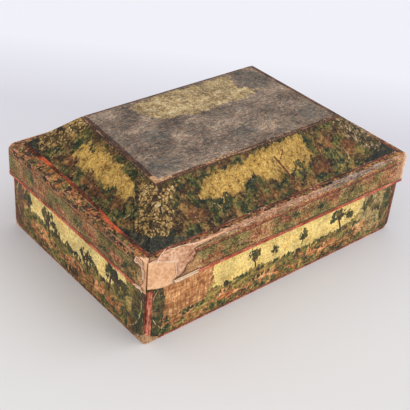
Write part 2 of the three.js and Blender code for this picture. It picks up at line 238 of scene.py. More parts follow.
def oblong(start, end, foot, top):
    return [(start, foot), (end, foot), (end, top), (start, top)]


def turned(side, along, out, z):
    """Turns a place on one side (to its right, outwards, up) into the box's own axes."""
    k = SIDES.index(side)
    x, y = ((along, -out), (out, along), (-along, out), (-out, -along))[k]
    return np.stack([x, y, np.broadcast_to(z, np.shape(x))], 1)


def wall_place(side, size):
    """An upright face: distance along it from its middle, round its corners, and height."""
    *half, radius = size
    run, depth = along_out(side, *half)

    def place(uv):
        u, v = uv.T
        past = np.maximum(np.abs(u) - (run - radius), 0)
        angle = np.minimum(past / max(radius, 1e-6), QUARTER)
        on = np.maximum(past - radius * QUARTER, 0)
        along = np.sign(u) * (np.minimum(np.abs(u), run - radius) + radius * np.sin(angle))
        return turned(side, along, depth - radius + radius * np.cos(angle) - on, v)

    return place


def wall_reach(side, size):
    """Half the length of an upright face, to the middle of its rounded corners."""
    *half, radius = size
    return along_out(side, *half)[0] - radius + radius * QUARTER / 2


def ledge_place(side, z):
    """A flat border: distance along the side, and distance in from the lid's outer face."""
    depth = along_out(side, LID_X, LID_Y)[1]
    return lambda uv: turned(side, uv[:, 0], depth - uv[:, 1], z)


def edge_place(side, depth, radius, top):
    """The skirt's face, going on over the lid's rounded upper edge and in along the ledge."""
    out = along_out(side, LID_X, LID_Y)[1] - depth

    def place(uv):
        u, v = uv.T
        past = np.maximum(v - (top - radius), 0)
        angle = np.minimum(past / radius, QUARTER)
        on = np.maximum(past - radius * QUARTER, 0)
        inwards = radius * (1 - np.cos(angle)) + on
        return turned(side, u, out - inwards, np.minimum(v, top - radius) + radius * np.sin(angle))

    return place


def slope_along(side, point):
    """How far along a slope a point is, from the middle of its side."""
    return {"front": point[0], "right": point[1], "back": -point[0], "left": -point[1]}[side]


def slope_corners(side):
    k = SIDES.index(side)
    return [FOOT_CORNERS[k], FOOT_CORNERS[(k + 1) % 4], TOP_CORNERS[(k + 1) % 4], TOP_CORNERS[k]]


def slope_length(side):
    foot_start, foot_end, top_end, top_start = slope_corners(side)
    middle = (top_start + top_end - foot_start - foot_end) / 2
    return math.hypot(along_out(side, *middle[:2])[1], TOP_Z - LEDGE_Z)


def slope_place(side):
    """A sloping face: distance along its foot, and distance up it."""
    foot_start, foot_end, top_end, top_start = slope_corners(side)
    length = slope_length(side)

    def place(uv):
        t = uv[:, 1:2] / length
        start = foot_start + t * (top_start - foot_start)
        end = foot_end + t * (top_end - foot_end)
        along = slope_along(side, start.T), slope_along(side, end.T)
        w = ((uv[:, 0] - along[0]) / (along[1] - along[0]))[:, None]
        return start + w * (end - start)

    return place


def flat_place(z):
    return lambda uv: np.column_stack([uv, np.full(len(uv), z)])


def closed(line):
    """A line that ends where it starts."""
    return np.vstack([line, line[:1]])


def filled(edge, spacing):
    """Points and triangles that fill a flat outline. The outline's own points come first."""
    lo, hi = edge.min(0), edge.max(0)
    u, v = np.meshgrid(np.arange(lo[0], hi[0], spacing), np.arange(lo[1] + spacing / 2, hi[1], spacing))
    u[::2] += spacing / 2
    middle = np.stack([u.ravel(), v.ravel()], 1)
    middle = middle[inside(middle, edge)]
    middle = middle[line_distance(middle, closed(edge)) > 0.55 * spacing]
    flat = np.vstack([edge, middle])
    made = delaunay_2d_cdt([Vector(p) for p in flat], [], [list(range(len(edge)))], 1, 1e-5)
    return np.array(made[0]), np.array(made[2])


def sealed(faces, rim, count):
    """The faces of a sheet's front, its back, and its rim between them."""
    a, b = np.arange(rim), np.roll(np.arange(rim), -1)
    if not follows(faces, a[0], b[0]):
        a, b = b, a
    sides = np.concatenate([np.stack([b, a, a + count], 1), np.stack([b, a + count, b + count], 1)])
    return np.concatenate([faces, faces[:, ::-1] + count, sides])


def sheet(edge, place, thickness=PAPER, spacing=1.7, depth=0.0, wear=None, wobble=0.0, lift=None,
          inner=None, fields=None):
    """A thin closed solid over a flat outline: its points, faces, and a value at each point for
    each field. Depth is how far its outer face lies under the outermost surface."""
    flat, faces = filled(edge, spacing)
    surface = place(flat)
    if wear is not None:
        surface = wear(surface, depth)
    normal = vertex_normals(surface, faces)
    if normal[faces[0]].mean(0) @ outward_of(place, flat, faces[0]) < 0:
        faces, normal = faces[:, ::-1], -normal
    if wobble:
        swell = 0.6 * wave(surface, 42.0, 3.0) + 0.4 * wave(surface, 15.0, 7.0)
        surface = surface + normal * (wobble * (0.5 + 0.5 * swell))[:, None]
    if lift is not None:
        surface = surface + normal * lift(flat)[:, None]
    back = inner(flat) if inner is not None else surface - normal * thickness
    count = len(flat)
    values = {"raw": np.zeros(count), "edge": line_distance(flat, closed(edge))}
    values.update(fields(flat) if fields is not None else {})
    values = {name: np.concatenate([value, value]) for name, value in values.items()}
    values["raw"][count:] = 1.0
    plan = np.column_stack([flat, np.zeros(count)])
    return {"points": np.vstack([surface, back]), "faces": sealed(faces, len(edge), count),
            "values": values, "plan": np.vstack([plan, plan])}


def outward_of(place, flat, face):
    """Which way is out of the box at one face of a sheet."""
    centre = place(flat[face]).mean(0)
    up = 1.0 if centre[2] > LEDGE_Z - 0.5 else 0.0
    return np.array([centre[0] / TRAY_X, centre[1] / TRAY_Y, 2.0 * up])


def follows(faces, a, b):
    """Whether some face goes from point a straight to point b."""
    return any(((faces == a) & (np.roll(faces, -1, axis=1) == b)).any(1))


def vertex_normals(points, faces):
    a, b, c = (points[faces[:, k]] for k in range(3))
    area = np.cross(b - a, c - a)
    total = np.zeros_like(points)
    for k in range(3):
        np.add.at(total, faces[:, k], area)
    return total / np.maximum(np.linalg.norm(total, axis=1, keepdims=True), 1e-12)


def piece(name, sheets, material, body, stands_for=()):
    """One object from one or more sheets."""
    shift = np.cumsum([0] + [len(s["points"]) for s in sheets[:-1]])
    points = np.vstack([s["points"] for s in sheets]) / MM
    faces = np.vstack([s["faces"] + k for s, k in zip(sheets, shift)])
    mesh = bpy.data.meshes.new(name)
    mesh.vertices.add(len(points))
    mesh.vertices.foreach_set("co", points.ravel())
    mesh.loops.add(faces.size)
    mesh.loops.foreach_set("vertex_index", faces.ravel())
    mesh.polygons.add(len(faces))
    mesh.polygons.foreach_set("loop_start", np.arange(0, faces.size, 3))
    mesh.update(calc_edges=True)
    mesh.validate()
    for field in sheets[0]["values"]:
        values = np.concatenate([s["values"][field] for s in sheets]).astype(np.float32)
        mesh.attributes.new(field, "FLOAT", "POINT").data.foreach_set("value", values)
    plan = np.vstack([s["plan"] for s in sheets]).astype(np.float32)
    mesh.attributes.new("plan", "FLOAT_VECTOR", "POINT").data.foreach_set("vector", plan.ravel())
    mesh.polygons.foreach_set("use_smooth", np.ones(len(faces), bool))
    mesh.set_sharp_from_angle(angle=math.radians(50))
    mesh.materials.append(material)
    made = bpy.data.objects.new(name, mesh)
    bpy.context.scene.collection.objects.link(made)
    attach(made, body)
    if stands_for:
        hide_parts(*stands_for)
    return made


# The roof's corners
FOOT_CORNERS = [np.array([x * FOOT_X, y * FOOT_Y, LEDGE_Z]) for x, y in CORNERS]


def top_corner(x, y):
    points = np.array([v.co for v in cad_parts["top_paper"].data.vertices]) * MM
    return max(points, key=lambda p: p @ np.array([x, y, 1.0]))


TOP_CORNERS = [top_corner(x, y) for x, y in CORNERS]


# Painting: outlines as distances in millimetres, positive inside

def discs(uv, places):
    return np.max([r - np.linalg.norm(uv - np.array([u, v]), axis=1) for u, v, r in places], axis=0)


def ovals(uv, places):
    """Places are (u, v, half length, half height)."""
    return np.max([min(a, b) * (1 - np.linalg.norm((uv - np.array([u, v])) / np.array([a, b]), axis=1))
                   for u, v, a, b in places], axis=0)


def scrolls(uv, curves):
    """Thin arcs. Curves are (u, v, radius, start and end angle in degrees)."""
    made = np.full(len(uv), -9.0)
    for u, v, radius, start, end in curves:
        along, up = uv[:, 0] - u, uv[:, 1] - v
        angle = np.degrees(np.arctan2(up, along)) % 360
        on_arc = (angle - start) % 360 <= (end - start) % 360
        line = 0.55 - np.abs(np.hypot(along, up) - radius)
        made = np.where(on_arc, np.maximum(made, line), made)
    return made


def patch(uv, corners):
    """A shape with straight sides."""
    corners = np.array(corners, float)
    away = line_distance(uv, closed(corners))
    return np.where(inside(uv, corners), away, -away)


def trunks(uv, lines):
    """Lines are (u, v, u, v, half width)."""
    return np.max([w - line_distance(uv, [(a, b), (c, d)]) for a, b, c, d, w in lines], axis=0)


def tree(u, v, size):
    """The discs of one tree's crown."""
    chance = random.Random(round(7 * u + v))
    lobes = [(u, v, 0.55 * size)]
    for k in range(9):
        angle = math.tau * (k + chance.uniform(-0.3, 0.3)) / 9
        reach = size * chance.uniform(0.5, 0.95)
        across, up = reach * math.cos(angle), 0.75 * reach * math.sin(angle)
        lobes.append((u + across, v + up, size * chance.uniform(0.2, 0.42)))
    return lobes


def thicket(seed, start, stop, height, size):
    """The discs of a row of bushes."""
    chance = random.Random(seed)
    made = []
    u = start
    while u < stop:
        r = size * chance.uniform(0.5, 1.25)
        made.append((u, height + size * chance.uniform(-0.4, 0.4), r))
        u += 1.2 * r + size * chance.uniform(0.0, 0.9)
    return made


def landscape(seed, half, sky, trees, lines, bank, earth, hill):
    """The fields of one long view: its sky, trees and their trunks, bushes, bank and bare earth,
    and the height above its line of hills."""

    def fields(uv):
        u, v = uv.T
        ridge = hill + 3.0 * np.sin(u / 21 + seed) + 1.8 * np.sin(u / 8.3 + 2 * seed)
        crowns = [disc for place in trees for disc in tree(*place)]
        near_bushes = thicket(seed, -half, half, 7.0, 6.0) + thicket(seed + 1, -half, half, 20.0, 3.0)
        border = 22.0 - (half - np.abs(u)) - 4 * np.abs(v - 36) / 36
        vines = [(end * (half - 33), 43, 26.5, start, start + 70) for end, start in ((-1, 140), (1, 330))]
        vines += [(end * (half - 45), 40, 38, start, start + 43) for end, start in ((-1, 195), (1, 302))]
        return {
            "sky": np.minimum(patch(uv, sky), v - ridge),
            "tree": discs(uv, crowns),
            "trunk": trunks(uv, lines),
            "bush": discs(uv, thicket(seed + 2, sky[0][0], sky[1][0], hill - 1.0, 3.0)),
            "near": discs(uv, near_bushes),
            "border": border,
            "bank": patch(uv, bank),
            "earth": ovals(uv, earth),
            "vine": scrolls(uv, vines),
            "rise": v - ridge,
        }

    return fields


# Material building

class Signal:
    """A value or colour inside a material, for writing sums as they are read."""

    def __init__(self, paint, socket):
        self.paint, self.socket = paint, socket

    def __add__(self, other):
        return self.paint.math("ADD", self, other)

    def __sub__(self, other):
        return self.paint.math("SUBTRACT", self, other)

    def __rsub__(self, other):
        return self.paint.math("SUBTRACT", other, self)

    def __mul__(self, other):
        return self.paint.math("MULTIPLY", self, other)

    def __abs__(self):
        return self.paint.math("ABSOLUTE", self)


def shade(r, g, b):
    """A colour given as it shows on screen, from 0 to 255, as the linear values that a node takes."""
    linear = [c / 3294.6 if c <= 10 else ((c / 255 + 0.055) / 1.055) ** 2.4 for c in (r, g, b)]
    return (*linear, 1.0)


class Paint:
    """One material and short ways to add nodes to it."""

    def __init__(self, name):
        self.material = bpy.data.materials.new(name)
        self.material.use_nodes = True
        self.nodes = self.material.node_tree.nodes
        self.links = self.material.node_tree.links
        self.nodes.clear()
        metres = self.node("ShaderNodeTexCoord").outputs["Object"]
        self.place = self.scaled(Signal(self, metres), MM)
        split = self.node("ShaderNodeSeparateXYZ", {0: self.place})
        self.x, self.y, self.z = (Signal(self, socket) for socket in split.outputs)

    def node(self, kind, inputs=None, **settings):
        made = self.nodes.new(kind)
        for key, value in settings.items():
            setattr(made, key, value)
        for key, value in (inputs or {}).items():
            if isinstance(value, Signal):
                self.links.new(value.socket, made.inputs[key])
            else:
                made.inputs[key].default_value = value
        return made

    def math(self, operation, a, b=0.0):
        return Signal(self, self.node("ShaderNodeMath", {0: a, 1: b}, operation=operation).outputs[0])

    def vector_math(self, operation, a, b):
        made = self.node("ShaderNodeVectorMath", {0: a, 1: b}, operation=operation)
        return Signal(self, made.outputs[0])

    def scaled(self, vector, amount):
        made = self.node("ShaderNodeVectorMath", {0: vector}, operation="SCALE")
        made.inputs["Scale"].default_value = amount
        return Signal(self, made.outputs[0])

    def field(self, name, output="Fac"):
        return Signal(self, self.node("ShaderNodeAttribute", attribute_name=name).outputs[output])

    def plan(self):
        """The place on the flat sheet: along it and up it."""
        return self.field("plan", "Vector")

    def stretched(self, x, y, z, coords=None, angle=0.0):
        inputs = {"Vector": coords or self.place, "Scale": (x, y, z), "Rotation": (0, 0, angle)}
        return Signal(self, self.node("ShaderNodeMapping", inputs).outputs[0])

    def noise(self, size, detail=2.0, rough=0.5, coords=None, output="Fac"):
        inputs = {"Vector": coords or self.place, "Scale": 1 / size, "Detail": detail, "Roughness": rough}
        return Signal(self, self.node("ShaderNodeTexNoise", inputs).outputs[output])

    def grain(self, size, coords=None):
        """The rough noise that most small marks have."""
        return self.noise(size, 3.0, 0.7, coords)

    def jitter(self, amount, size, detail=2.0, rough=0.5):
        """Noise about zero."""
        return (self.noise(size, detail, rough) - 0.5) * amount

    def rough_jitter(self, amount, size):
        return (self.grain(size) - 0.5) * amount

    def shaken(self, size, amount, coords=None):
        """Coordinates pushed about by noise."""
        coords = coords or self.place
        push = self.vector_math("SUBTRACT", self.noise(size, coords=coords, output="Color"), (0.5, 0.5, 0.5))
        return self.vector_math("ADD", coords, self.scaled(push, amount))

    def cells(self, size, coords, feature="F1"):
        inputs = {"Vector": coords, "Scale": 1 / size}
        return Signal(self, self.node("ShaderNodeTexVoronoi", inputs, feature=feature).outputs["Distance"])

    def cracks(self, size, coords):
        """Distance from the nearest edge between cells."""
        return self.cells(size, coords, "DISTANCE_TO_EDGE")

    def step(self, value, start, end, low=0.0, high=1.0):
        inputs = {"Value": value, "From Min": start, "From Max": end, "To Min": low, "To Max": high}
        made = self.node("ShaderNodeMapRange", inputs, interpolation_type="SMOOTHSTEP")
        return Signal(self, made.outputs[0])

    def fall(self, value, start, end, high=1.0):
        """A step down to nothing."""
        return self.step(value, start, end, high, 0.0)

    def spots(self, start, end, size, detail=2.0, rough=0.5, coords=None):
        """Where noise passes a level."""
        return self.step(self.noise(size, detail, rough, coords), start, end)

    def ramp(self, value, *stops):
        """Stops are (position, colour) with colours as shade() takes them."""
        made = self.node("ShaderNodeValToRGB", {0: value})
        entries = made.color_ramp.elements
        while len(entries) < len(stops):
            entries.new(1.0)
        for entry, (position, colour) in zip(entries, stops):
            entry.position = position
            entry.color = shade(*colour)
        return Signal(self, made.outputs[0])

    def mix(self, amount, a, b, blend="MIX"):
        a, b = (value if isinstance(value, Signal) else shade(*value) for value in (a, b))
        made = self.node("ShaderNodeMix", {0: amount, 6: a, 7: b}, data_type="RGBA", blend_type=blend)
        return Signal(self, made.outputs[2])

    def dim(self, colour, amount):
        """Multiplies a colour by a value."""
        grey = self.node("ShaderNodeCombineColor", {0: amount, 1: amount, 2: amount})
        return self.mix(1.0, colour, Signal(self, grey.outputs[0]), "MULTIPLY")

    def axis(self, vector, index):
        return Signal(self, self.node("ShaderNodeSeparateXYZ", {0: vector}).outputs[index])

    def dullness(self, low, high, size=9.0, detail=3.0):
        """A roughness that varies in patches, as rubbed varnish does."""
        return self.step(self.noise(size, detail), 0.3, 0.7, low, high)

    def finish(self, colour, roughness, height=None, relief=0.25, specular=0.22):
        shader = self.node("ShaderNodeBsdfPrincipled", {"Base Color": colour, "Roughness": roughness})
        shader.inputs["Specular IOR Level"].default_value = specular
        if height is not None:
            bump = self.node("ShaderNodeBump", {"Height": height, "Distance": relief / MM})
            self.links.new(bump.outputs[0], shader.inputs["Normal"])
        out = self.node("ShaderNodeOutputMaterial")
        self.links.new(shader.outputs[0], out.inputs[0])
        return self.material


# What several paintings share

FIBRE = (214, 164, 128)
TAN_FIBRE = (186, 142, 108)


def lit(colour, light):
    """A colour made lighter or darker."""
    return tuple(min(255, c * light) for c in colour)


def toned(light, *stops):
    """Ramp stops with every colour made lighter or darker."""
    return [(at, lit(colour, light)) for at, colour in stops]


def foliage(p, light=1.0):
    """Painted leaves: dark green, olive and brown masses, broken up by lit and shaded strokes."""
    mass = p.noise(9.0, 3.0, 0.64, p.shaken(9.0, 7.0))
    greens = ((0.36, (30, 38, 24)), (0.47, (56, 62, 34)), (0.58, (90, 86, 46)), (0.7, (134, 116, 64)))
    browns = ((0.36, (44, 32, 22)), (0.47, (78, 57, 35)), (0.58, (112, 83, 49)), (0.7, (156, 116, 70)))
    green, brown = (p.ramp(mass, *toned(light, *stops)) for stops in (greens, browns))
    made = p.mix(p.spots(0.46, 0.58, 15.0), green, brown)
    strokes = p.noise(2.8, 3.0, 0.74, p.shaken(5.0, 5.0))
    made = p.dim(made, p.step(strokes, 0.34, 0.66, 0.3, 1.95))
    bright = p.step(p.noise(3.1, 2.0, 0.6, p.shaken(6.0, 6.0)) + mass * 0.5, 0.82, 0.86)
    return p.mix(bright * 0.6, made, lit((158, 128, 74), light))


def sky_paint(p, light, deep):
    """Thick yellow paint, mottled, with dark and pale specks."""
    mottle = p.noise(4.2, 4.0, 0.68) * 0.7 + p.noise(15.0, 3.0, 0.6) * 0.36
    middle = tuple((a + 2 * b) / 3 for a, b in zip(deep, light))
    sky = p.ramp(mottle, (0.42, deep), (0.5, middle), (0.6, light))
    sky = p.mix(p.spots(0.63, 0.67, 2.3) * 0.55, sky, lit(deep, 0.6))
    return p.mix(p.spots(0.64, 0.69, 2.6, 2.0, 0.6, p.shaken(9.0, 3.0)) * 0.6, sky, (240, 220, 170))


def leafy(p, field, bite, size, start, end, tall=0.62):
    """Where a painted shape is, its edge broken up by leaves."""
    plan = p.stretched(1.0, tall, 1.0, p.plan())
    lobes = p.noise(size, 2.0, 0.6, plan) - 0.5
    bays = p.noise(size * 3.4, 1.0, 0.5, plan) - 0.5
    return p.step(p.field(field) + lobes * (bite * 2.6) + bays * (bite * 2.4), start, end)


def lobed(p, field, bite, size):
    """How far inside a painted shape a point is, where rounder leaves break up its edge."""
    plan = p.stretched(1.0, 0.75, 1.0, p.plan())
    leaf = 0.5 - p.cells(size, p.shaken(size * 1.2, size * 0.7, plan))
    bays = p.noise(size * 2.6, 2.0, 0.6, plan) - 0.5
    return p.field(field) + leaf * (bite * 1.5) + bays * (bite * 3.0)


def sprays(p, size):
    """Clusters of leaves with dark veins between them: where they are, and their colour."""
    vein = p.cracks(size, p.shaken(size * 1.5, size * 1.3)) + p.jitter(0.4, size * 0.4)
    clump = p.noise(size * 1.8, 2.0, 0.6)
    tone = p.noise(size * 0.5, 3.0, 0.72) * 0.75 + clump * 0.25
    cream = p.ramp(tone, (0.4, (104, 72, 38)), (0.48, (150, 112, 60)), (0.56, (186, 152, 92)),
                   (0.66, (232, 212, 168)))
    grey = p.ramp(tone, (0.4, (70, 58, 46)), (0.5, (124, 104, 82)), (0.6, (166, 146, 120)),
                  (0.7, (206, 190, 164)))
    right = p.step(p.x, 90.0, 120.0) * 0.75
    return p.step(clump, 0.48, 0.52) * p.step(vein, 0.07, 0.14), p.mix(right, cream, grey)


def aged(p, colour, chips=1.0, fibre=FIBRE, rub=0.0):
    """Grime, fine cracks, rubbed specks and chipped edges. Returns the colour and the height."""
    grime = p.step(p.noise(26.0, 4.0, 0.62), 0.32, 0.64, 0.72, 1.08)
    colour = p.dim(colour, grime * p.step(p.grain(2.1), 0.32, 0.68, 0.78, 1.2))
    fine = p.fall(p.cracks(8.0, p.shaken(4.0, 2.2)), 0.0, 0.035) * p.spots(0.48, 0.6, 17.0)
    colour = p.mix(fine * 0.5, colour, (44, 30, 20))
    worn = p.grain(1.4) * 0.5 + p.noise(11.0, 3.0, 0.6) * 0.5
    colour = p.mix(p.step(worn, 0.615 - rub, 0.645 - rub) * 0.6, colour, fibre)
    edge = p.field("edge") + p.rough_jitter(3.4, 2.6) + (p.noise(19.0) - 0.42) * 5.0
    chipped = p.fall(edge, 0.1, 0.45) * chips
    colour = p.mix(chipped, colour, fibre)
    colour = p.mix(p.step(p.field("raw"), 0.2, 0.5), colour, (184, 146, 116))
    height = p.noise(0.9, 3.0, 0.6) * 0.5 + p.noise(6.0, 3.0, 0.6) - fine * 0.5 - chipped * 0.8
    return colour, height


def scuffed(p, colour):
    """Bare fibres at the foot of the tray's four corners, most of all at the near one."""
    past = (TRAY_X + TRAY_Y) - abs(p.x) - abs(p.y) + p.z * 1.5
    past = past - p.fall(p.x + p.y, -230.0, -210.0, 8.0)
    reach = past + p.jitter(26.0, 5.0, 4.0, 0.74)
    fibres = p.ramp(p.grain(1.6), (0.35, (150, 102, 66)), (0.52, (216, 168, 122)), (0.68, (246, 212, 172)))
    return p.mix(p.fall(reach, 10.0, 11.6, 0.9), colour, fibres)


def flowers(p):
    """A dark border strewn with flowers and leaves."""
    made = p.ramp(p.grain(3.0), (0.36, (28, 22, 14)), (0.5, (54, 40, 25)), (0.64, (92, 66, 38)))
    for size, start, stops in (
            (7.5, 0.5, ((0.4, (104, 60, 30)), (0.5, (162, 100, 50)), (0.6, (206, 146, 80)))),
            (6.1, 0.54, ((0.4, (60, 58, 30)), (0.5, (94, 88, 46)), (0.6, (144, 122, 66)))),
            (5.2, 0.57, ((0.4, (112, 54, 34)), (0.5, (168, 98, 62)), (0.6, (212, 156, 108))))):
        place = p.spots(start, start + 0.025, size, 1.5, 0.5, p.shaken(size * 1.4, size))
        made = p.mix(place, made, p.ramp(p.grain(2.2), *stops))
    return made


def speckle(p):
    """Olive and brown speckle, like imitation stone."""
    hatch = p.noise(1.7, 2.0, 0.7, p.stretched(1.0, 1.0, 1.4))
    tone = hatch * 0.72 + p.noise(12.0, 3.0, 0.6) * 0.42
    green = p.ramp(tone, (0.46, (74, 66, 32)), (0.54, (118, 104, 54)), (0.61, (152, 132, 74)),
                   (0.72, (206, 176, 118)))
    brown = p.ramp(tone, (0.46, (98, 62, 34)), (0.54, (146, 100, 58)), (0.61, (180, 132, 82)),
                   (0.72, (222, 178, 130)))
    return p.mix(p.spots(0.46, 0.56, 26.0), green, brown)


def foot_red(p):
    """Mottled red, brightest in two places along the left side."""
    bright = p.fall(abs(p.y - 67.0), 6.0, 16.0, 0.14) + p.fall(abs(p.y + 52.0), 12.0, 24.0, 0.14)
    tone = p.noise(2.4, 4.0, 0.7) * 0.55 + p.noise(22.0) * 0.5 + bright
    return p.ramp(tone, (0.44, (56, 34, 25)), (0.54, (106, 54, 38)), (0.62, (164, 74, 46)),
                  (0.72, (218, 98, 54)))


def red_paint(p):
    return p.ramp(p.grain(2.6), (0.38, (92, 42, 30)), (0.5, (148, 74, 52)), (0.62, (200, 124, 94)))


def abraded(p, colour, reach=1.0):
    """Paper rubbed to its fibres along the lid's upper edge, greyer towards the right end."""
    greyer = p.step(p.x, 20.0, 70.0) * p.fall(p.x, 126.0, 150.0) * 0.85
    rough = p.jitter(7.0, 3.0, 4.0, 0.74) + p.jitter(6.0, 14.0)
    worn = p.step(p.field("worn") + rough * reach, -0.3, 0.9)
    tone = p.noise(1.9, 3.0, 0.72, p.stretched(0.6, 1.0, 1.0)) * 0.7 + p.noise(9.0, 3.0) * 0.4
    pink = p.ramp(tone, (0.43, (112, 72, 52)), (0.52, (172, 124, 96)), (0.6, (204, 156, 126)),
                  (0.7, (232, 190, 158)))
    grey = p.ramp(tone, (0.43, (80, 66, 58)), (0.52, (132, 120, 108)), (0.6, (164, 152, 140)),
                  (0.7, (208, 194, 178)))
    streaks = p.spots(0.56, 0.6, 3.2, 3.0, 0.7, p.stretched(0.4, 1.0, 1.0)) * 0.7
    return p.mix(worn, colour, p.mix(streaks, p.mix(greyer, pink, grey), (112, 58, 44)))


# The tray's long painted views

def ground(p, light):
    """Hills, turf, a bank of stone and bare earth below a sky."""

    def coat(tone, *stops):
        return p.ramp(tone, *toned(light, *stops))

    rise = p.field("rise") + p.jitter(8.0, 6.0, 3.0, 0.65)
    tone = p.noise(3.4, 3.0, 0.72, p.stretched(0.5, 0.5, 1.7)) * 0.8 + p.noise(14.0, 3.0, 0.6) * 0.4
    turf = coat(tone, (0.46, (66, 50, 28)), (0.55, (112, 82, 46)), (0.62, (156, 108, 62)),
                (0.72, (208, 152, 98)))
    grass = coat(tone, (0.46, (62, 66, 32)), (0.55, (102, 98, 48)), (0.62, (140, 122, 62)),
                 (0.72, (190, 158, 92)))
    painted = p.mix(p.step(rise + p.jitter(40.0, 22.0), -16.0, -8.0), turf, grass)
    blades = p.noise(2.2, 3.0, 0.65, p.stretched(1.0, 1.0, 0.22)) * 0.5
    courses = p.noise(3.4, 2.0, 0.6, p.stretched(0.3, 0.3, 1.0)) * 0.3 + p.grain(4.0) * 0.2
    bank = coat(blades + courses, (0.4, (118, 74, 42)), (0.47, (156, 102, 62)), (0.54, (184, 130, 82)),
                (0.62, (224, 178, 126)))
    painted = p.mix(leafy(p, "bank", 3.0, 3.0, -0.3, 0.4), painted, bank)
    soil = coat(tone, (0.46, (112, 62, 36)), (0.55, (178, 104, 60)), (0.62, (214, 140, 86)),
                (0.72, (238, 182, 128)))
    return p.mix(leafy(p, "earth", 4.0, 3.5, -0.3, 0.4), painted, soil)


def glade(p, picture):
    """Lighter leaves near the right end of the front."""
    along = p.axis(p.plan(), 0)
    place = p.step(along, 108.0, 126.0) * p.fall(along, 150.0, 166.0)
    place = place * p.spots(0.42, 0.56, 3.4, 3.0, 0.7, p.shaken(6.0, 5.0)) * 0.85
    return p.mix(place, picture, p.ramp(p.grain(3.0), (0.38, (134, 116, 74)), (0.6, (226, 188, 142))))


def tray_paper_material(name, sky_light, sky_deep, light, with_glade=False):
    """A long painted view: sky, ground, bushes, and trees with trunks."""
    p = Paint(name)
    leaves = foliage(p, 1.16 * light)
    sky = sky_paint(p, sky_light, sky_deep)
    picture = p.mix(leafy(p, "sky", 3.6, 2.7, -0.15, 0.2), ground(p, light), sky)
    if with_glade:
        picture = glade(p, picture)
    picture = p.mix(leafy(p, "bush", 3.6, 2.6, -0.2, 0.25, 0.3), picture, p.dim(leaves, 0.85))
    picture = p.mix(leafy(p, "tree", 4.4, 2.5, -0.2, 0.25), picture, p.mix(0.65, leaves, (42, 52, 30)))
    picture = p.mix(p.step(p.field("trunk") + p.jitter(0.9, 2.0), -0.15, 0.25), picture, (74, 46, 28))
    picture = p.mix(leafy(p, "near", 5.0, 3.0, 0.2, 0.7), picture, leaves)
    edge_tone = p.mix(p.step(p.y, 70.0, 90.0), (50, 58, 38), (112, 66, 48))
    picture = p.mix(leafy(p, "border", 3.0, 3.6, -0.2, 0.5), picture, p.mix(0.55, leaves, edge_tone))
    vine = p.step(p.field("vine") + p.jitter(0.4, 2.2), -0.2, 0.15)
    colour, height = aged(p, scuffed(p, p.mix(vine * 0.9, picture, (216, 186, 132))))
    return p.finish(colour, p.dullness(0.42, 0.66), height, relief=0.12)


# The lid's slopes and top

def slope_woods(p):
    """Leaves over russet earth, with sprays at the hips and a dark pool at each corner."""
    base = foliage(p, 0.97)
    russet = p.ramp(p.grain(2.8) * 0.7 + p.noise(9.0) * 0.3, (0.4, (80, 46, 30)), (0.5, (126, 76, 46)),
                    (0.6, (168, 110, 68)), (0.7, (204, 156, 104)))
    base = p.mix(leafy(p, "earth", 5.5, 3.7, -0.3, 0.7) * 0.6, base, russet)
    corner = p.step(p.field("pool") + p.jitter(10.0, 6.0, 3.0), -0.5, 1.5)
    night = p.ramp(p.grain(2.6) * 0.6 + p.noise(9.0) * 0.4, (0.4, (26, 30, 28)), (0.5, (50, 52, 44)),
                   (0.58, (84, 76, 58)), (0.68, (130, 108, 80)))
    base = p.mix(corner, base, night)
    hip = p.fall(p.field("hip") + p.jitter(26.0, 11.0, 3.0, 0.6), 22.0, 25.0) * p.fall(corner, 0.3, 0.6)
    base = p.mix(hip * 0.6, base, (54, 40, 28))
    for size in (6.4, 4.1):
        mask, colour = sprays(p, size)
        base = p.mix(mask * hip, base, colour)
    return base


def slope_material():
    """Yellow sky among woods, with flowers and a red line at the left's foot, and a rusty upper edge."""
    p = Paint("slope_painting")
    base = slope_woods(p)
    sky_shape = lobed(p, "sky", 4.6, 4.0)
    sky = sky_paint(p, (208, 167, 88), (128, 92, 40))
    picture = p.mix(p.step(sky_shape, -0.15, 0.25), base, sky)
    inner_leaves = p.step(p.noise(2.1, 2.0, 0.6) - p.step(sky_shape, 0.0, 7.0, 0.0, 0.14), 0.52, 0.55)
    picture = p.mix(inner_leaves * p.step(sky_shape, 0.0, 0.5) * 0.85, picture, (86, 70, 36))
    picture = p.mix(leafy(p, "tree", 5.0, 2.6, -0.2, 0.3), picture, p.mix(0.5, base, (42, 54, 32)))
    picture = p.mix(p.step(p.field("trunk") + p.jitter(1.2, 2.0), -0.15, 0.25), picture, (104, 60, 36))
    vine = p.step(p.field("vine") + p.jitter(0.5, 2.2), -0.1, 0.2)
    picture = p.mix(vine * 0.8, picture, (196, 164, 110))
    below = p.field("line") + p.rough_jitter(2.4, 2.4)
    picture = p.mix(p.fall(below, -0.3, 0.3), picture, flowers(p))
    picture = p.mix(p.fall(abs(below), 1.5, 2.1), picture, foot_red(p))
    head = p.fall(p.field("head") + p.rough_jitter(4.6, 5.0), 1.0, 2.4)
    rust = p.ramp(p.noise(2.0, 3.0), (0.36, (54, 32, 26)), (0.56, (92, 58, 46)), (0.72, (136, 98, 80)))
    colour, height = aged(p, p.mix(head * 0.9, picture, rust), 0.5, (206, 170, 128))
    return p.finish(colour, p.dullness(0.46, 0.66), height, relief=0.14, specular=0.14)


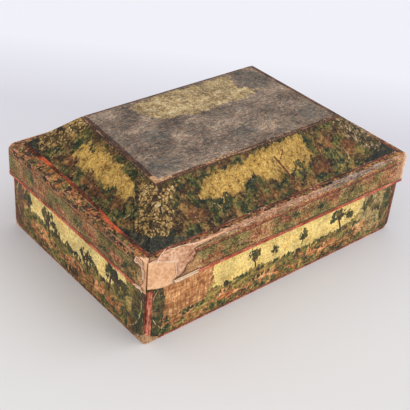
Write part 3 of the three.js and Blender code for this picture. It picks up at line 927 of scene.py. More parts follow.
def brushwork(p):
    """Dark, rubbed strokes in several colours, with pale worn places and dark veins."""
    along = p.stretched(0.5, 1.5, 1.0, p.shaken(16.0, 10.0), math.radians(-18))
    across = p.stretched(0.6, 1.5, 1.0, p.shaken(13.0, 10.0), math.radians(34))
    fine = p.noise(3.2, 4.0, 0.75, along) * 0.55 + p.noise(2.6, 4.0, 0.75, across) * 0.45
    tone = fine * 0.85 + p.noise(28.0, 3.0, 0.6) * 0.35
    base = p.ramp(tone, (0.5, (60, 52, 45)), (0.57, (103, 90, 79)), (0.63, (136, 119, 104)),
                  (0.72, (192, 167, 142)))
    blue_place = p.field("tree") * 0.05 + p.noise(22.0, 4.0, 0.65, p.shaken(20.0, 16.0)) + (fine - 0.5) * 0.6
    blue = p.ramp(fine, (0.4, (50, 53, 51)), (0.5, (86, 84, 77)), (0.6, (128, 118, 106)))
    base = p.mix(p.step(blue_place, 0.46, 0.56) * 0.8, base, blue)
    base = p.mix(p.spots(0.52, 0.6, 5.0, 4.0, 0.75, p.shaken(12.0, 6.0)) * 0.45, base, (158, 112, 86))
    base = p.mix(p.spots(0.58, 0.64, 7.0, 4.0, 0.7, p.shaken(14.0, 8.0)) * 0.4, base, (96, 92, 62))
    worn_place = p.step(p.field("earth"), -6.0, 6.0, -0.06, 0.05)
    pale = p.step(worn_place + p.noise(6.0, 4.0, 0.75, p.shaken(12.0, 9.0)), 0.54, 0.62)
    base = p.mix(pale * 0.6, base, (188, 152, 122))
    vein = p.cracks(8.0, p.shaken(7.0, 6.0)) + p.jitter(0.1, 3.0)
    base = p.mix(p.fall(vein, 0.0, 0.045) * p.spots(0.44, 0.56, 18.0) * 0.6, base, (72, 54, 44))
    fleck = p.step(p.grain(1.7, p.shaken(4.0, 3.0)) + worn_place * 0.6, 0.6, 0.65)
    return p.mix(fleck * 0.6, base, (206, 184, 160))


def mustard_paint(p):
    """The pale yellow patch on the flat top."""
    mustard = p.ramp(p.noise(3.0, 4.0, 0.72) * 0.65 + p.noise(11.0, 3.0) * 0.38, (0.44, (122, 98, 66)),
                     (0.51, (166, 138, 92)), (0.57, (188, 162, 112)), (0.66, (222, 206, 172)))
    return p.mix(p.spots(0.6, 0.65, 1.9, 2.0, 0.7) * 0.6, mustard, (232, 222, 200))


def top_material():
    """Dark, rubbed brushwork with one pale yellow patch."""
    p = Paint("top_painting")
    picture = p.mix(p.step(lobed(p, "sky", 4.6, 5.0), -0.05, 0.15), brushwork(p), mustard_paint(p))
    colour, height = aged(p, picture, 0.7, (204, 172, 142), 0.01)
    return p.finish(colour, p.dullness(0.44, 0.62, 14.0), height, relief=0.16, specular=0.2)


# The lid's skirt and ledge

FOOT_TOP = LID_STRIP_TOP + 1.0  # where the red at the skirt's foot ends


def skirt_band(p, light):
    """The speckled band with its scrolls and leaf clusters."""
    swirls = p.ramp(p.grain(2.4) * 0.7 + p.noise(7.0) * 0.3, (0.4, (92, 52, 34)), (0.49, (154, 92, 60)),
                    (0.57, (196, 134, 92)), (0.66, (226, 182, 142)))
    band = p.mix(leafy(p, "earth", 6.5, 3.1, -0.3, 0.6), p.dim(speckle(p), light), swirls)
    return p.mix(leafy(p, "tree", 6.5, 2.6, -0.3, 0.6), band, foliage(p, 1.12))


def front_foot(p, band, along, up):
    """The front's band with a stain near the tear, and the red that is bare beside it."""
    bare = p.fall(along + p.jitter(8.0, 4.0), -118.0, -115.0)
    stain = p.fall(along + up * 1.2 + p.jitter(14.0, 6.0), -48.0, -44.0) * 0.75
    band = p.mix(stain, band, p.ramp(p.noise(2.2, 3.0), (0.38, (92, 62, 40)), (0.6, (164, 116, 80))))
    return band, p.mix(bare, red_paint(p), (226, 196, 160))


def front_wear_and_shadow(p, band, along, up):
    """The front's frayed right end, and a painted shadow beside the tear."""
    frayed = p.grain(1.5) + p.step(along, 140.0, 176.0, -0.12, 0.08) - (up - 80.0) * 0.003
    band = p.mix(p.step(frayed, 0.55, 0.6) * 0.85, band, (224, 178, 138))
    # Painted shadow: darker along the covering's torn edges near the tear.
    shadow = p.fall(p.field("edge") + p.jitter(1.0, 2.0), 0.5, 1.5, 0.75) * p.fall(along, -112.0, -104.0)
    return p.mix(shadow, band, (58, 40, 26))


def skirt_material(name, line_height, flowered):
    """A speckled band under a red line, with flowers or wear above it, and red lines low down."""
    p = Paint(name)
    along, flat_up = (p.axis(p.plan(), k) for k in range(2))
    up = flat_up + p.jitter(1.6, 16.0) + p.jitter(0.8, 3.0)
    band = skirt_band(p, 0.97 if flowered else 1.1)
    if flowered:
        second = p.fall(abs(up - (LID_STRIP_TOP + 4.6)) + p.rough_jitter(1.0, 2.4), 0.4, 0.8)
        band = p.mix(second * p.spots(0.42, 0.52, 11.0), band, red_paint(p))
    band = p.mix(p.fall(abs(up - (line_height - 2.0)), 0.4, 0.8, 0.8), band, (66, 42, 28))
    if flowered:
        band = p.mix(p.step(up, line_height, line_height + 0.4), band, flowers(p))
    band = abraded(p, band, 0.8)
    half_width, gaps, tint = (0.5, 0.4, 0.3) if flowered else (1.1, 0.3, 0.0)
    line = p.fall(abs(up - line_height) + p.rough_jitter(1.3, 2.4), half_width, half_width + 0.4)
    line = line * p.spots(gaps, gaps + 0.08, 8.0, 3.0)
    band = p.mix(line, band, p.mix(tint, red_paint(p), (186, 136, 104)))
    low = p.fall(up + p.jitter(1.2, 2.4, 3.0), FOOT_TOP - 0.2, FOOT_TOP + 0.2)
    if flowered:
        foot_paint = red_paint(p)
    else:
        band, foot_paint = front_foot(p, band, along, flat_up)
    band = p.mix(low, band, foot_paint)
    under = p.fall(abs(up - (FOOT_TOP + 0.9)) + p.jitter(0.7, 2.0), 0.3, 0.7, 0.85)
    band = p.mix(under, band, (62, 40, 26))
    chips, rub = (0.35, 0.0) if flowered else (0.12, 0.012)
    if not flowered:
        band = front_wear_and_shadow(p, band, along, up)
    colour, height = aged(p, band, chips, rub=rub)
    return p.finish(colour, p.dullness(0.44, 0.68), height, relief=0.14)


def ledge_material():
    p = Paint("ledge_painting")
    colour, height = aged(p, abraded(p, flowers(p)), 0.25, TAN_FIBRE)
    return p.finish(colour, p.dullness(0.46, 0.7), height, relief=0.14)


# Strips

def strip_finish(p, colour, chips, fibre=FIBRE):
    colour, height = aged(p, colour, chips, fibre)
    return p.finish(colour, p.dullness(0.44, 0.62, 6.0, 2.0), height, relief=0.12)


def strip_material(name, shadow, body, light, bare=0.0, spread=1.0):
    """Painted strip paper, rubbed through in places. More bare means more rubbed spots, and spread
    scales the chips at its edges."""
    p = Paint(name)
    tone = p.noise(2.2, 4.0, 0.7) * 0.62 + p.noise(16.0, 3.0) * 0.5
    colour = p.ramp(tone, (0.46, shadow), (0.56, body), (0.68, light))
    rubbed = p.noise(1.8, 4.0, 0.7) * 0.55 + p.noise(13.0, 3.0) * 0.55
    colour = p.mix(p.step(rubbed, 0.645 - bare, 0.675 - bare), colour, (216, 170, 134))
    return strip_finish(p, colour, 0.45 * spread)


def slope_foot_material():
    """The red line round the foot of the slopes, lost in the flowers at the far left."""
    p = Paint("slope_foot_line")
    lost = p.step(p.y + p.jitter(16.0, 7.0), -46.0, -34.0) * p.fall(p.x, -100.0, -60.0)
    return strip_finish(p, p.mix(lost, foot_red(p), flowers(p)), 0.25, TAN_FIBRE)


def top_edge_material():
    """The dark strip round the flat top: bare at the near left corner, frayed along the front, and
    pale at the far rim."""
    p = Paint("top_edge_line")
    tone = p.noise(2.2, 4.0, 0.7) * 0.7 + p.noise(14.0, 3.0) * 0.4
    colour = p.ramp(tone, (0.46, (38, 26, 20)), (0.55, (74, 48, 36)), (0.64, (120, 80, 56)),
                    (0.74, (170, 118, 84)))
    bare = p.ramp(p.grain(1.8), (0.36, (140, 92, 58)), (0.5, (206, 154, 106)), (0.66, (240, 204, 158)))
    front = p.fall(p.y, -60.0, -56.0)
    corner_x = TOP_CORNERS[0][0] + 17
    corner = p.fall(p.x + p.rough_jitter(16.0, 4.0), corner_x, corner_x + 5)
    lace = p.step(p.grain(1.9) + p.fall(abs(p.x + 50.0), 16.0, 26.0, 0.1), 0.58, 0.62)
    colour = p.mix(front * corner * p.step(p.grain(3.4), 0.36, 0.44), colour, bare)
    colour = p.mix(front * lace * 0.8, colour, bare)
    rim = p.fall(p.field("edge"), 0.2, 0.5) * p.step(p.y + p.x * 0.5, -10.0, 20.0)
    return strip_finish(p, p.mix(rim * 0.6, colour, (196, 180, 166)), 0.4)


def corner_material():
    """The strips folded round the tray's corners: cracked at the fold, bare at the foot, painted shade past
    the fold.
    """
    p = Paint("corner_strip")
    streak = p.noise(2.0, 4.0, 0.7, p.stretched(1.0, 1.0, 0.3)) * 0.7 + p.noise(13.0, 3.0) * 0.35
    colour = p.ramp(streak, (0.44, (112, 44, 30)), (0.51, (180, 80, 56)), (0.62, (226, 142, 110)))
    fold = p.field("fold") + p.jitter(1.2, 4.0)
    shine = p.fall(abs(fold + 2.6), 0.3, 1.0, 0.7) * p.spots(0.42, 0.55, 9.0)
    colour = p.mix(shine, colour, (234, 170, 136))
    # Painted shade: the short leg past the fold, on the tray's end, is darkened, less at the far corners.
    far = p.step(p.y, -10.0, 10.0)
    colour = p.mix(p.step(fold, 0.4, 1.2) * (0.6 - far * 0.5), colour, (84, 40, 28))
    crack = p.fall(abs(fold), 0.25, 0.6)
    colour = p.mix(crack * 0.85, colour, (44, 24, 18))
    colour = p.mix(p.step(abs(fold + 2.4) - far * 0.9, 3.7, 4.1), colour, foliage(p, 0.95))
    colour = p.mix(p.step(p.x, -10.0, 10.0) * 0.6, colour, (58, 38, 30))
    colour, height = aged(p, scuffed(p, colour), 0.5)
    return p.finish(colour, 0.55, height - crack, relief=0.14)


def foot_line_material():
    """The strip round the tray's foot: red at the very edge, dark above, tan on the left side."""
    p = Paint("foot_line")
    tone = p.noise(2.0, 4.0, 0.7) * 0.7 + p.noise(12.0, 3.0) * 0.35
    red = p.ramp(tone, (0.42, (112, 44, 32)), (0.52, (178, 84, 62)), (0.64, (226, 148, 118)))
    dark = p.ramp(tone, (0.4, (48, 36, 22)), (0.52, (92, 64, 38)), (0.66, (150, 104, 62)))
    tan = p.ramp(tone, (0.44, (74, 48, 30)), (0.53, (132, 88, 54)), (0.64, (216, 162, 116)))
    red = p.mix(p.fall(p.x, 0.4 - TRAY_X, 1.6 - TRAY_X, 0.85), red, tan)
    colour = p.mix(p.step(p.z + p.jitter(1.2, 3.0), 1.8, 2.2), red, dark)
    colour, height = aged(p, scuffed(p, colour), 0.25)
    return p.finish(colour, 0.55, height, relief=0.12)


# Bare board and linings

def board_material(name, dark, body, light, grain=3.0, spread=1.0, torn=False):
    """Bare pasteboard: soft fibres, small pits and stains. A torn piece has pale fibres at its rim."""
    p = Paint(name)
    fibres = p.noise(0.9, 4.0, 0.75, p.stretched(0.45, 0.45, 1.3))
    tone = fibres * 0.3 + p.noise(grain, 4.0, 0.65) * 0.4 + p.noise(24.0, 3.0) * 0.4
    colour = p.ramp(tone, (0.55 - 0.12 * spread, dark), (0.54, body), (0.55 + 0.1 * spread, light))
    colour = p.mix(p.spots(0.56, 0.66, 9.0, 3.0, 0.6, p.shaken(6.0, 5.0)) * 0.45, colour, dark)
    pit = p.spots(0.68, 0.76, 0.9)
    colour = p.mix(pit * 0.5, colour, (132, 84, 56))
    if torn:
        rim = p.fall(p.field("edge") + p.rough_jitter(2.4, 2.4), 0.4, 1.0, 0.85)
        colour = p.mix(rim, colour, (255, 226, 196))
        colour = p.mix(p.step(p.field("raw"), 0.2, 0.5) * 0.7, colour, (120, 80, 56))
    return p.finish(colour, 0.9, fibres + p.noise(3.0, 3.0) - pit, relief=0.25, specular=0.1)


def lining_material():
    """Plain yellowed paper, foxed, and painted dark as shade where it shows through the opened corner of the
    lid.
    """
    p = Paint("lining_paper")
    tone = p.noise(22.0, 4.0, 0.6) * 0.7 + p.noise(1.0) * 0.25
    colour = p.ramp(tone, (0.34, (176, 152, 118)), (0.5, (208, 190, 158)), (0.7, (226, 212, 184)))
    fox = p.fall(p.cells(11.0, p.shaken(5.0, 3.0)) + p.noise(3.0) * 0.3, 0.22, 0.34)
    colour = p.mix(fox * 0.35, colour, (150, 108, 66))
    # Painted shade: the lining is darkened low down at the near left corner, where it shows through the
    # opened lid.
    opened = p.fall(p.x + p.y, -276.0, -268.0) * p.fall(p.z + p.jitter(6.0, 4.0), 70.0, 74.0)
    colour = p.mix(opened, colour, (74, 62, 42))
    return p.finish(colour, 0.88, p.noise(1.2, 3.0, 0.6) + p.noise(14.0), relief=0.2, specular=0.15)


TORN_LOOK = dict(dark=(152, 102, 76), body=(214, 160, 126), light=(246, 206, 172), grain=3.6, spread=0.8)
BOARD = board_material("bare_board", (206, 150, 108), (246, 192, 148), (255, 210, 168))
DARK_BOARD = board_material("torn_ply", **TORN_LOOK)
TORN = board_material("torn_rim", torn=True, **TORN_LOOK)
LINING = lining_material()
FRONT_VIEW = tray_paper_material("front_view", (255, 226, 142), (240, 196, 106), light=1.14, with_glade=True)
SIDE_VIEW = tray_paper_material("side_view", (255, 230, 150), (246, 198, 112), light=1.04)
SLOPE = slope_material()
TOP = top_material()
FRONT_SKIRT = skirt_material("front_skirt", line_height=91.6, flowered=False)
SIDE_SKIRT = skirt_material("side_skirt", line_height=91.8, flowered=True)
LEDGE = ledge_material()
RED = strip_material("red_strip", (132, 50, 34), (206, 90, 62), (238, 146, 110))
RIM_RED = strip_material("rim_binding", (112, 48, 32), (182, 88, 60), (224, 142, 106), bare=0.02)
TOP_EDGE = top_edge_material()
FOOT_RED = slope_foot_material()
FRONT_FOOT_RED = strip_material("front_slope_foot_line", (44, 26, 20), (92, 50, 38), (162, 88, 64),
                                bare=0.01, spread=0.8)
CORNER = corner_material()
FOOT_LINE = foot_line_material()


# How papers lie on the tray, the lid's sides and its roof, and how strips lie on paper
LID_WOBBLE = 0.22
ON_TRAY = dict(wear=tray_wear, wobble=0.12)
ON_LID = dict(wear=lid_wear, wobble=LID_WOBBLE)
ON_ROOF = dict(wear=roof_wear, wobble=LID_WOBBLE)
ON_PAPER = dict(thickness=STRIP, depth=-OVER_PAPER)


# Tray

TRAY_VIEWS = {
    "front": landscape(
        seed=3, half=TRAY_X, hill=30,
        sky=[(-94, 92), (122, 92), (120, 48), (104, 34), (40, 24), (-93, 26)],
        trees=[(-40, 50, 8), (-10, 44, 5), (30, 47, 7), (82, 52, 10), (100, 45, 7), (128, 50, 9),
               (142, 40, 8)],
        lines=[(-40, 46, -37, 34, 1.1), (30, 44, 28, 34, 0.9), (82, 48, 88, 32, 1.3)],
        bank=[(-160, 8), (-158, 92), (-96, 92), (-94, 40), (-106, 24), (-124, 10)],
        earth=[(-28, 17, 18, 4), (52, 19, 34, 5), (2, 9, 22, 5), (122, 20, 14, 6), (-78, 14, 16, 9)]),
    "left": landscape(
        seed=5, half=TRAY_Y, hill=34,
        sky=[(-88, 92), (90, 92), (86, 50), (68, 40), (40, 32), (2, 30), (-40, 36), (-66, 28), (-84, 36)],
        trees=[(-50, 47, 12), (-34, 38, 8), (-12, 34, 6), (22, 44, 10), (34, 37, 7), (64, 50, 12),
               (84, 44, 11), (-94, 48, 11)],
        lines=[(-50, 46, -47, 22, 1.6), (22, 44, 24, 24, 1.3), (64, 46, 60, 26, 1.5)],
        bank=[(-106, 30), (-104, 62), (-94, 70), (-92, 34)],
        earth=[(-62, 20, 22, 6), (2, 20, 20, 6), (50, 18, 26, 6), (-20, 10, 24, 4)]),
    "right": landscape(
        seed=8, half=TRAY_Y, hill=39,
        sky=[(-88, 92), (84, 92), (78, 50), (60, 44), (10, 38), (-50, 39), (-80, 46)],
        trees=[(-60, 50, 10), (-20, 45, 7), (16, 50, 9), (30, 43, 7), (70, 50, 9)],
        lines=[(-60, 46, -56, 30, 1.2), (16, 46, 20, 32, 1.2)],
        bank=[(84, 10), (92, 92), (114, 92), (112, 10)],
        earth=[(-40, 22, 26, 7), (44, 24, 24, 8), (4, 12, 22, 4)]),
    "back": landscape(
        seed=11, half=TRAY_X, hill=38,
        sky=[(-124, 92), (98, 92), (94, 52), (70, 42), (-20, 36), (-90, 40), (-116, 50)],
        trees=[(-96, 50, 9), (-60, 46, 7), (-24, 50, 10), (-6, 43, 7), (50, 49, 9), (86, 50, 9)],
        lines=[(-24, 46, -20, 31, 1.2), (50, 46, 46, 31, 1.1), (-96, 46, -94, 34, 1.1)],
        bank=[(104, 8), (102, 92), (160, 92), (158, 24), (130, 8)],
        earth=[(-70, 22, 30, 7), (20, 24, 30, 8), (-120, 12, 18, 6)]),
}


def board(side, size, depth, inner_depth, edge, spacing, wear):
    """A wall of board under its paper, with its inner face flat and square as in the frame."""
    outer = grown(size, -depth)
    reach = wall_reach(side, outer)
    run, out = along_out(side, *size[:2])

    def inner(uv):
        along = uv[:, 0] * (run - inner_depth) / reach
        return turned(side, along, np.full(len(uv), out - inner_depth), uv[:, 1])

    return sheet(edge, wall_place(side, outer), spacing=spacing, depth=depth, wear=wear, inner=inner)


def make_tray_walls():
    for side in SIDES:
        reach = wall_reach(side, grown(TRAY, -UNDER_PAPER))
        edge = outline(oblong(-reach, reach, 0, TRAY_TOP), rough=0.04, step=3.0)
        made = board(side, TRAY, UNDER_PAPER, WALL_INSIDE, edge, spacing=4.0, wear=tray_wear)
        piece(f"{side}_wall_board", [made], BOARD, "tray", (f"tray_wall_{side}",))
        reach = wall_reach(side, TRAY) - PASTE
        edge = outline(oblong(-reach, reach, PAPER_FOOT, TRAY_TOP), rough=0.1)
        made = sheet(edge, wall_place(side, TRAY), fields=TRAY_VIEWS[side], **ON_TRAY)
        material = FRONT_VIEW if side in LONG_SIDES else SIDE_VIEW
        piece(f"{side}_painting", [made], material, "tray", (f"tray_paper_{side}",))


def make_tray_strips():
    size = grown(TRAY, OVER_PAPER)
    foot = []
    for side in SIDES:
        reach = wall_reach(side, size) - PASTE
        corners = oblong(-reach, reach, PAPER_FOOT, FOOT_STRIP_TOP - 0.6)
        edge = outline(corners, [0.05, 0.05, 0.5, 0.05], step=1.2, seed=4.0)
        foot.append(sheet(edge, wall_place(side, size), spacing=1.4, **ON_PAPER, **ON_TRAY))
    piece("foot_strip", foot, FOOT_LINE, "tray", ("tray_foot_strip",))
    half, _, radius = size
    start = half - radius + radius * QUARTER + SHORT_LEG - radius
    stop = half - LONG_LEG
    fold = wall_reach("front", size)
    for side, end, where in (("front", -1, "front_left"), ("front", 1, "front_right"),
                             ("back", -1, "back_right"), ("back", 1, "back_left")):
        corners = oblong(end * stop, end * start, FOOT_STRIP_TOP + 0.1, TRAY_TOP)
        edge = outline(corners, [0.1, 0.35, 0.1, 0.5], step=1.2, seed=2.0 + end)
        made = sheet(edge, wall_place(side, size), spacing=1.0, **ON_PAPER, **ON_TRAY,
                     fields=lambda uv: {"fold": np.abs(uv[:, 0]) - fold})
        piece(f"corner_strip_{where}", [made], CORNER, "tray", (f"tray_corner_strip_{where}",))


# Lid

SKIRT_FOOT = LID_FOOT + STRIP + PASTE
PLY_THICKNESS = 0.4


def near(values, side):
    """Turns distances from the near left corner into distances along the front or left side."""
    return [((u - LID_X) if side == "front" else (LID_Y - u), v) for u, v in values]


def curl(lines, height, reach):
    """Lifts a sheet's torn edge."""
    return lambda uv: height * np.exp(-line_distance(uv, lines) / reach) * (0.6 + 0.6 * wave(uv, 5.0, 2.0))


# How far the lid's upper edge is rubbed: places along it, then inwards on the ledge and down the skirt
RUBBED = {
    "front": ([-178, -120, -20, 60, 110, 150, 178], [4.0, 4.2, 4.0, 3.2, 3.6, 3.0, 1.2],
              [5.6, 5.4, 4.8, 4.2, 4.0, 2.6, 1.4]),
    "left": ([-124, -60, 60, 124], [0.9, 0.2, 0.3, 1.0], [0.8, 0.3, 0.5, 0.9]),
    "right": ([-124, 0, 124], [1.6, 0.6, 1.2], [1.8, 0.6, 1.2]),
    "back": ([-178, 0, 178], [1.2, 0.6, 1.4], [1.4, 0.8, 1.6]),
}


def skirt_fields(side):
    scrolls, clusters = SKIRT_SCROLLS[side]
    places, _, reaches = RUBBED[side]
    return lambda uv: {"earth": ovals(uv, scrolls), "tree": ovals(uv, clusters),
                       "worn": np.interp(uv[:, 0], places, reaches) - (LEDGE_Z - uv[:, 1])}


def ledge_fields(side):
    places, reaches, _ = RUBBED[side]
    return lambda uv: {"worn": np.interp(uv[:, 0], places, reaches) - uv[:, 1]}


# The skirt's painted scrolls, then its leaf clusters, as ovals
SKIRT_SCROLLS = {
    "front": ([(-104, 76, 9, 5), (-44, 79, 13, 4), (-8, 82, 16, 5), (66, 84, 22, 4), (122, 84, 9, 3),
               (164, 80, 12, 8)],
              [(-72, 76, 14, 4), (14, 82, 12, 4), (52, 80, 8, 3), (96, 82, 12, 3)]),
    "left": ([(-100, 74, 8, 4), (-56, 79, 10, 5), (-18, 76, 10, 4), (32, 80, 12, 4), (76, 78, 12, 6)],
             [(-78, 78, 10, 5), (8, 78, 9, 4), (56, 77, 9, 4), (100, 78, 12, 8)]),
    "right": ([(-90, 78, 10, 5), (-30, 77, 12, 4), (40, 79, 12, 5), (96, 78, 10, 5)],
              [(-60, 78, 12, 4), (6, 79, 12, 4), (70, 78, 10, 4)]),
    "back": ([(-150, 78, 12, 5), (-96, 80, 12, 4), (-30, 78, 14, 5), (46, 80, 14, 4), (116, 78, 14, 5)],
             [(-122, 79, 10, 4), (-62, 78, 12, 4), (10, 79, 12, 4), (82, 79, 12, 4), (150, 79, 10, 5)]),
}


def cut_to_foot(torn):
    """The same line with its last point brought down to the foot of the skirt."""
    return [*torn[:-1], (torn[-1][0], SKIRT_FOOT)]


def skirt_outline(side, reach):
    if side == "front":
        torn = cut_to_foot(near(FRONT_TEAR, side))
        corners = [(reach, SKIRT_FOOT), (reach, LEDGE_Z), *WORN_SKIRT_TOP, *torn]
        rough = [0.1, 0.05] + [0.55] * len(WORN_SKIRT_TOP) + [0.45] * (len(FRONT_TEAR) - 1) + [0.1]
    elif side == "left":
        torn = cut_to_foot(near(LEFT_TEAR, side))
        torn[0] = (torn[0][0], LEDGE_Z)
        corners = [(-reach, LEDGE_Z), (-reach, SKIRT_FOOT), *torn[::-1]]
        rough = [0.05, 0.1] + [0.4] * (len(torn) - 1) + [0.12]
    else:
        return outline(oblong(-reach, reach, SKIRT_FOOT, LEDGE_Z), [0.1, 0.05, 0.15, 0.05])
    return outline(corners, rough, step=0.8, seed=6.0)


def make_skirt_papers():
    for side in SIDES:
        reach = wall_reach(side, LID) - PASTE
        tear = {"front": FRONT_TEAR, "left": LEFT_TEAR}.get(side)
        lift = curl(near(tear, side), height=0.9, reach=2.2) if tear else None
        made = sheet(skirt_outline(side, reach), wall_place(side, LID), spacing=1.4, lift=lift,
                     fields=skirt_fields(side), **ON_LID)
        material = FRONT_SKIRT if side == "front" else SIDE_SKIRT
        piece(f"{side}_skirt_painting", [made], material, "lid", (f"skirt_paper_{side}",))


def make_skirt_boards():
    top = LEDGE_Z - PAPER - PASTE
    for side in SIDES:
        reach = wall_reach(side, grown(LID, -UNDER_PAPER)) - PASTE
        start = -reach + (OPEN_JOINT if side == "front" else 0)
        end = reach - (OPEN_JOINT if side == "left" else 0)
        depth = UNDER_PAPER + (PLY_THICKNESS if side == "front" else 0)
        corners = oblong(start, end, SKIRT_FOOT, top)
        rough = [0.08, 0.05, 0.08, 0.05]
        if side == "front":
            chip = cut_to_foot(near(BOARD_CHIP, side))
            chip[0] = (start, chip[0][1])
            corners = [chip[-1], *corners[1:], *chip[:-1]]
            rough = [0.08, 0.05, 0.08, 0.25] + [0.3] * (len(chip) - 1)
        edge = outline(corners, rough, step=1.2, seed=8.0)
        made = board(side, LID, depth, SKIRT_INSIDE, edge, spacing=2.4, wear=lid_wear)
        piece(f"{side}_skirt_board", [made], BOARD, "lid", (f"skirt_board_{side}",))


def make_torn_ply():
    """The board's torn outer ply, under the front's covering and over the edge onto the ledge."""
    depth, radius, top = UNDER_PAPER, 2.0, LEDGE_Z - 0.02
    reach = wall_reach("front", grown(LID, -depth)) - PASTE

    def over(inset):
        past = inset - depth
        return top - radius + (QUARTER * past if past < radius else QUARTER * radius + past - radius)

    on_ledge = [(u, over(v - 0.35)) for u, v in LEDGE_TEAR[:0:-1]]
    torn = near([(64, PLY_SHOULDER), (60, over(1.2)), *on_ledge, *PLY_TEAR[1:-1]], "front")
    start = near(PLY_TEAR[-1:], "front")[0][0]
    edge = outline([(start, SKIRT_FOOT), (reach, SKIRT_FOOT), (reach, PLY_SHOULDER), *torn],
                   [0.08, 0.05, 0.1] + [0.5] * len(torn), step=0.8, seed=12.0)

    def folds(uv):
        crease = np.maximum(1 - np.abs(wave(uv * [1.0, 1.6], 9.0, 5.0)) * 3.0, 0)
        upper = np.clip((uv[:, 1] - 84) / 8, 0, 1)
        return 0.42 * crease * upper + curl(torn[:-1], height=0.3, reach=1.6)(uv)

    made = sheet(edge, edge_place("front", depth, radius, top), thickness=PLY_THICKNESS - PASTE, spacing=1.3,
                 depth=depth, lift=folds)
    piece("front_skirt_ply", [made], TORN, "lid")


def make_flaps():
    size = grown(LID, PASTE)
    for number, (side, corners, height) in enumerate(FLAPS):
        edge = outline(near(corners, side), rough=0.9, step=0.7, seed=50.0 + number)
        middle = np.mean(edge, axis=0)
        reach = np.max(np.linalg.norm(edge - middle, axis=1))

        def lift(uv, middle=middle, reach=reach, height=height, number=number):
            away = np.linalg.norm(uv - middle, axis=1) / reach
            return 0.25 + height * away ** 2 * (0.55 + 0.9 * wave(uv, 4.0, float(number)))

        made = sheet(edge, wall_place(side, size), spacing=0.8, depth=-PASTE, lift=lift, **ON_LID)
        piece(f"torn_flap_{number + 1}", [made], TORN, "lid")


def ledge_outline(side):
    start, stop = PAPER + 0.1, LEDGE_WIDTH
    run = along_out(side, LID_X, LID_Y)[0]
    slope_side = [(run - stop, stop), (-run + stop, stop)]
    if side == "front":
        corners = [*near(LEDGE_TEAR, side), *WORN_LEDGE_EDGE[::-1], (run - start, start), *slope_side]
        rough = [0.4] * (len(LEDGE_TEAR) - 1) + [0.5] * (len(WORN_LEDGE_EDGE) + 1) + [0.04, 0.08, 0.04]
    elif side == "left":
        corners = [(-run + start, start), *near(LEFT_LEDGE_TEAR, side), *slope_side]
        rough = [0.15, 0.4, 0.4, 0.2, 0.08, 0.04]
    else:
        corners = [(-run + start, start), (run - start, start), *slope_side]
        rough = [0.15, 0.04, 0.08, 0.04]
    return outline(corners, rough, step=0.9, seed=15.0)


def make_ledge():
    for side in SIDES:
        made = sheet(ledge_outline(side), ledge_place(side, LEDGE_Z), spacing=1.3, fields=ledge_fields(side),
                     **ON_LID)
        piece(f"{side}_ledge_painting", [made], LEDGE, "lid", (f"ledge_paper_{side}",))


def foot_line(side):
    """One side of the strip at the foot of the slopes, narrower in front."""
    run = along_out(side, FOOT_X, FOOT_Y)[0]
    outer = LEDGE_WIDTH - FOOT_STRIP_WIDTH - (0.9 if side != "front" else 0.0)
    width = LEDGE_WIDTH - outer - 0.1
    edge = outline([(-run - width, outer), (run + width, outer), (run, LEDGE_WIDTH), (-run, LEDGE_WIDTH)],
                   [0.95, 0.04, 0.1, 0.04], step=0.9, seed=21.0)
    return sheet(edge, ledge_place(side, LEDGE_Z + OVER_PAPER), spacing=1.1, **ON_PAPER, **ON_LID)


def make_foot_lines():
    lines = [foot_line(side) for side in SIDES[1:]]
    piece("slope_foot_line", lines, FOOT_RED, "lid", ("slope_foot_strip",))
    piece("front_slope_foot_line", [foot_line("front")], FRONT_FOOT_RED, "lid")


SLOPE_PICTURES = {
    "front": dict(
        sky=[(-92, 32), (-84, 44), (-62, 50), (-30, 49), (2, 55), (50, 56), (62, 46), (56, 30), (44, 20),
             (24, 24), (8, 17), (-12, 22), (-24, 34), (-44, 22), (-70, 20), (-80, 27)],
        tree=[(-24, 26, 7), (-66, 22, 6), (36, 26, 7), (62, 46, 9)],
        trunk=[(20, 14, 10, 42, 1.3), (12, 34, 24, 46, 0.8), (-24, 8, -26, 24, 1.1), (66, 10, 68, 44, 1.2)],
        earth=[(60, 14, 14, 6), (-104, 18, 12, 8), (0, 7, 30, 3), (104, 24, 12, 8), (84, 36, 6, 8)],
        vine=[(-96, 16, 11, 120, 300), (-84, 14, 8, 330, 100), (92, 18, 10, 230, 60),
              (110, 14, 8, 100, 280)]),
    "left": dict(
        sky=[(-45, 22), (-41, 44), (-24, 48), (22, 49), (44, 45), (56, 36), (50, 22), (30, 26), (14, 20),
             (-6, 24), (-22, 18), (-34, 25)],
        tree=[(-28, 42, 5), (-8, 22, 6), (28, 24, 6)],
        trunk=[(-8, 12, -6, 26, 1.0), (28, 12, 31, 26, 1.0)],
        earth=[(10, 14, 18, 4), (44, 20, 8, 7), (-40, 20, 8, 8)],
        vine=[(52, 20, 14, 280, 80), (-54, 20, 14, 110, 260), (-34, 12, 16, 200, 300),
              (30, 8, 12, 180, 330)]),
    "right": dict(
        sky=[(-52, 26), (-44, 42), (-20, 50), (24, 50), (46, 40), (50, 26), (28, 20), (8, 26), (-14, 18),
             (-36, 22)],
        tree=[(-24, 22, 7), (18, 24, 7)],
        trunk=[(-24, 10, -22, 24, 1.1), (34, 14, 28, 38, 1.2)],
        earth=[(-6, 10, 22, 4), (48, 16, 10, 6)],
        vine=[(56, 20, 13, 290, 80), (-56, 20, 13, 110, 260), (-20, 10, 12, 190, 330)]),
    "back": dict(
        sky=[(-100, 28), (-90, 44), (-50, 52), (10, 54), (70, 50), (92, 40), (86, 24), (60, 20), (34, 30),
             (10, 20), (-20, 26), (-48, 18), (-80, 22)],
        tree=[(-66, 24, 8), (-20, 30, 7), (50, 22, 8)],
        trunk=[(-66, 10, -62, 24, 1.1), (18, 14, 26, 40, 1.3), (50, 8, 48, 24, 1.2)],
        earth=[(-30, 10, 30, 4), (80, 14, 16, 6)],
        vine=[(100, 18, 12, 300, 90), (-104, 18, 12, 100, 250), (-40, 10, 14, 190, 340),
              (34, 12, 10, 200, 350)]),
}

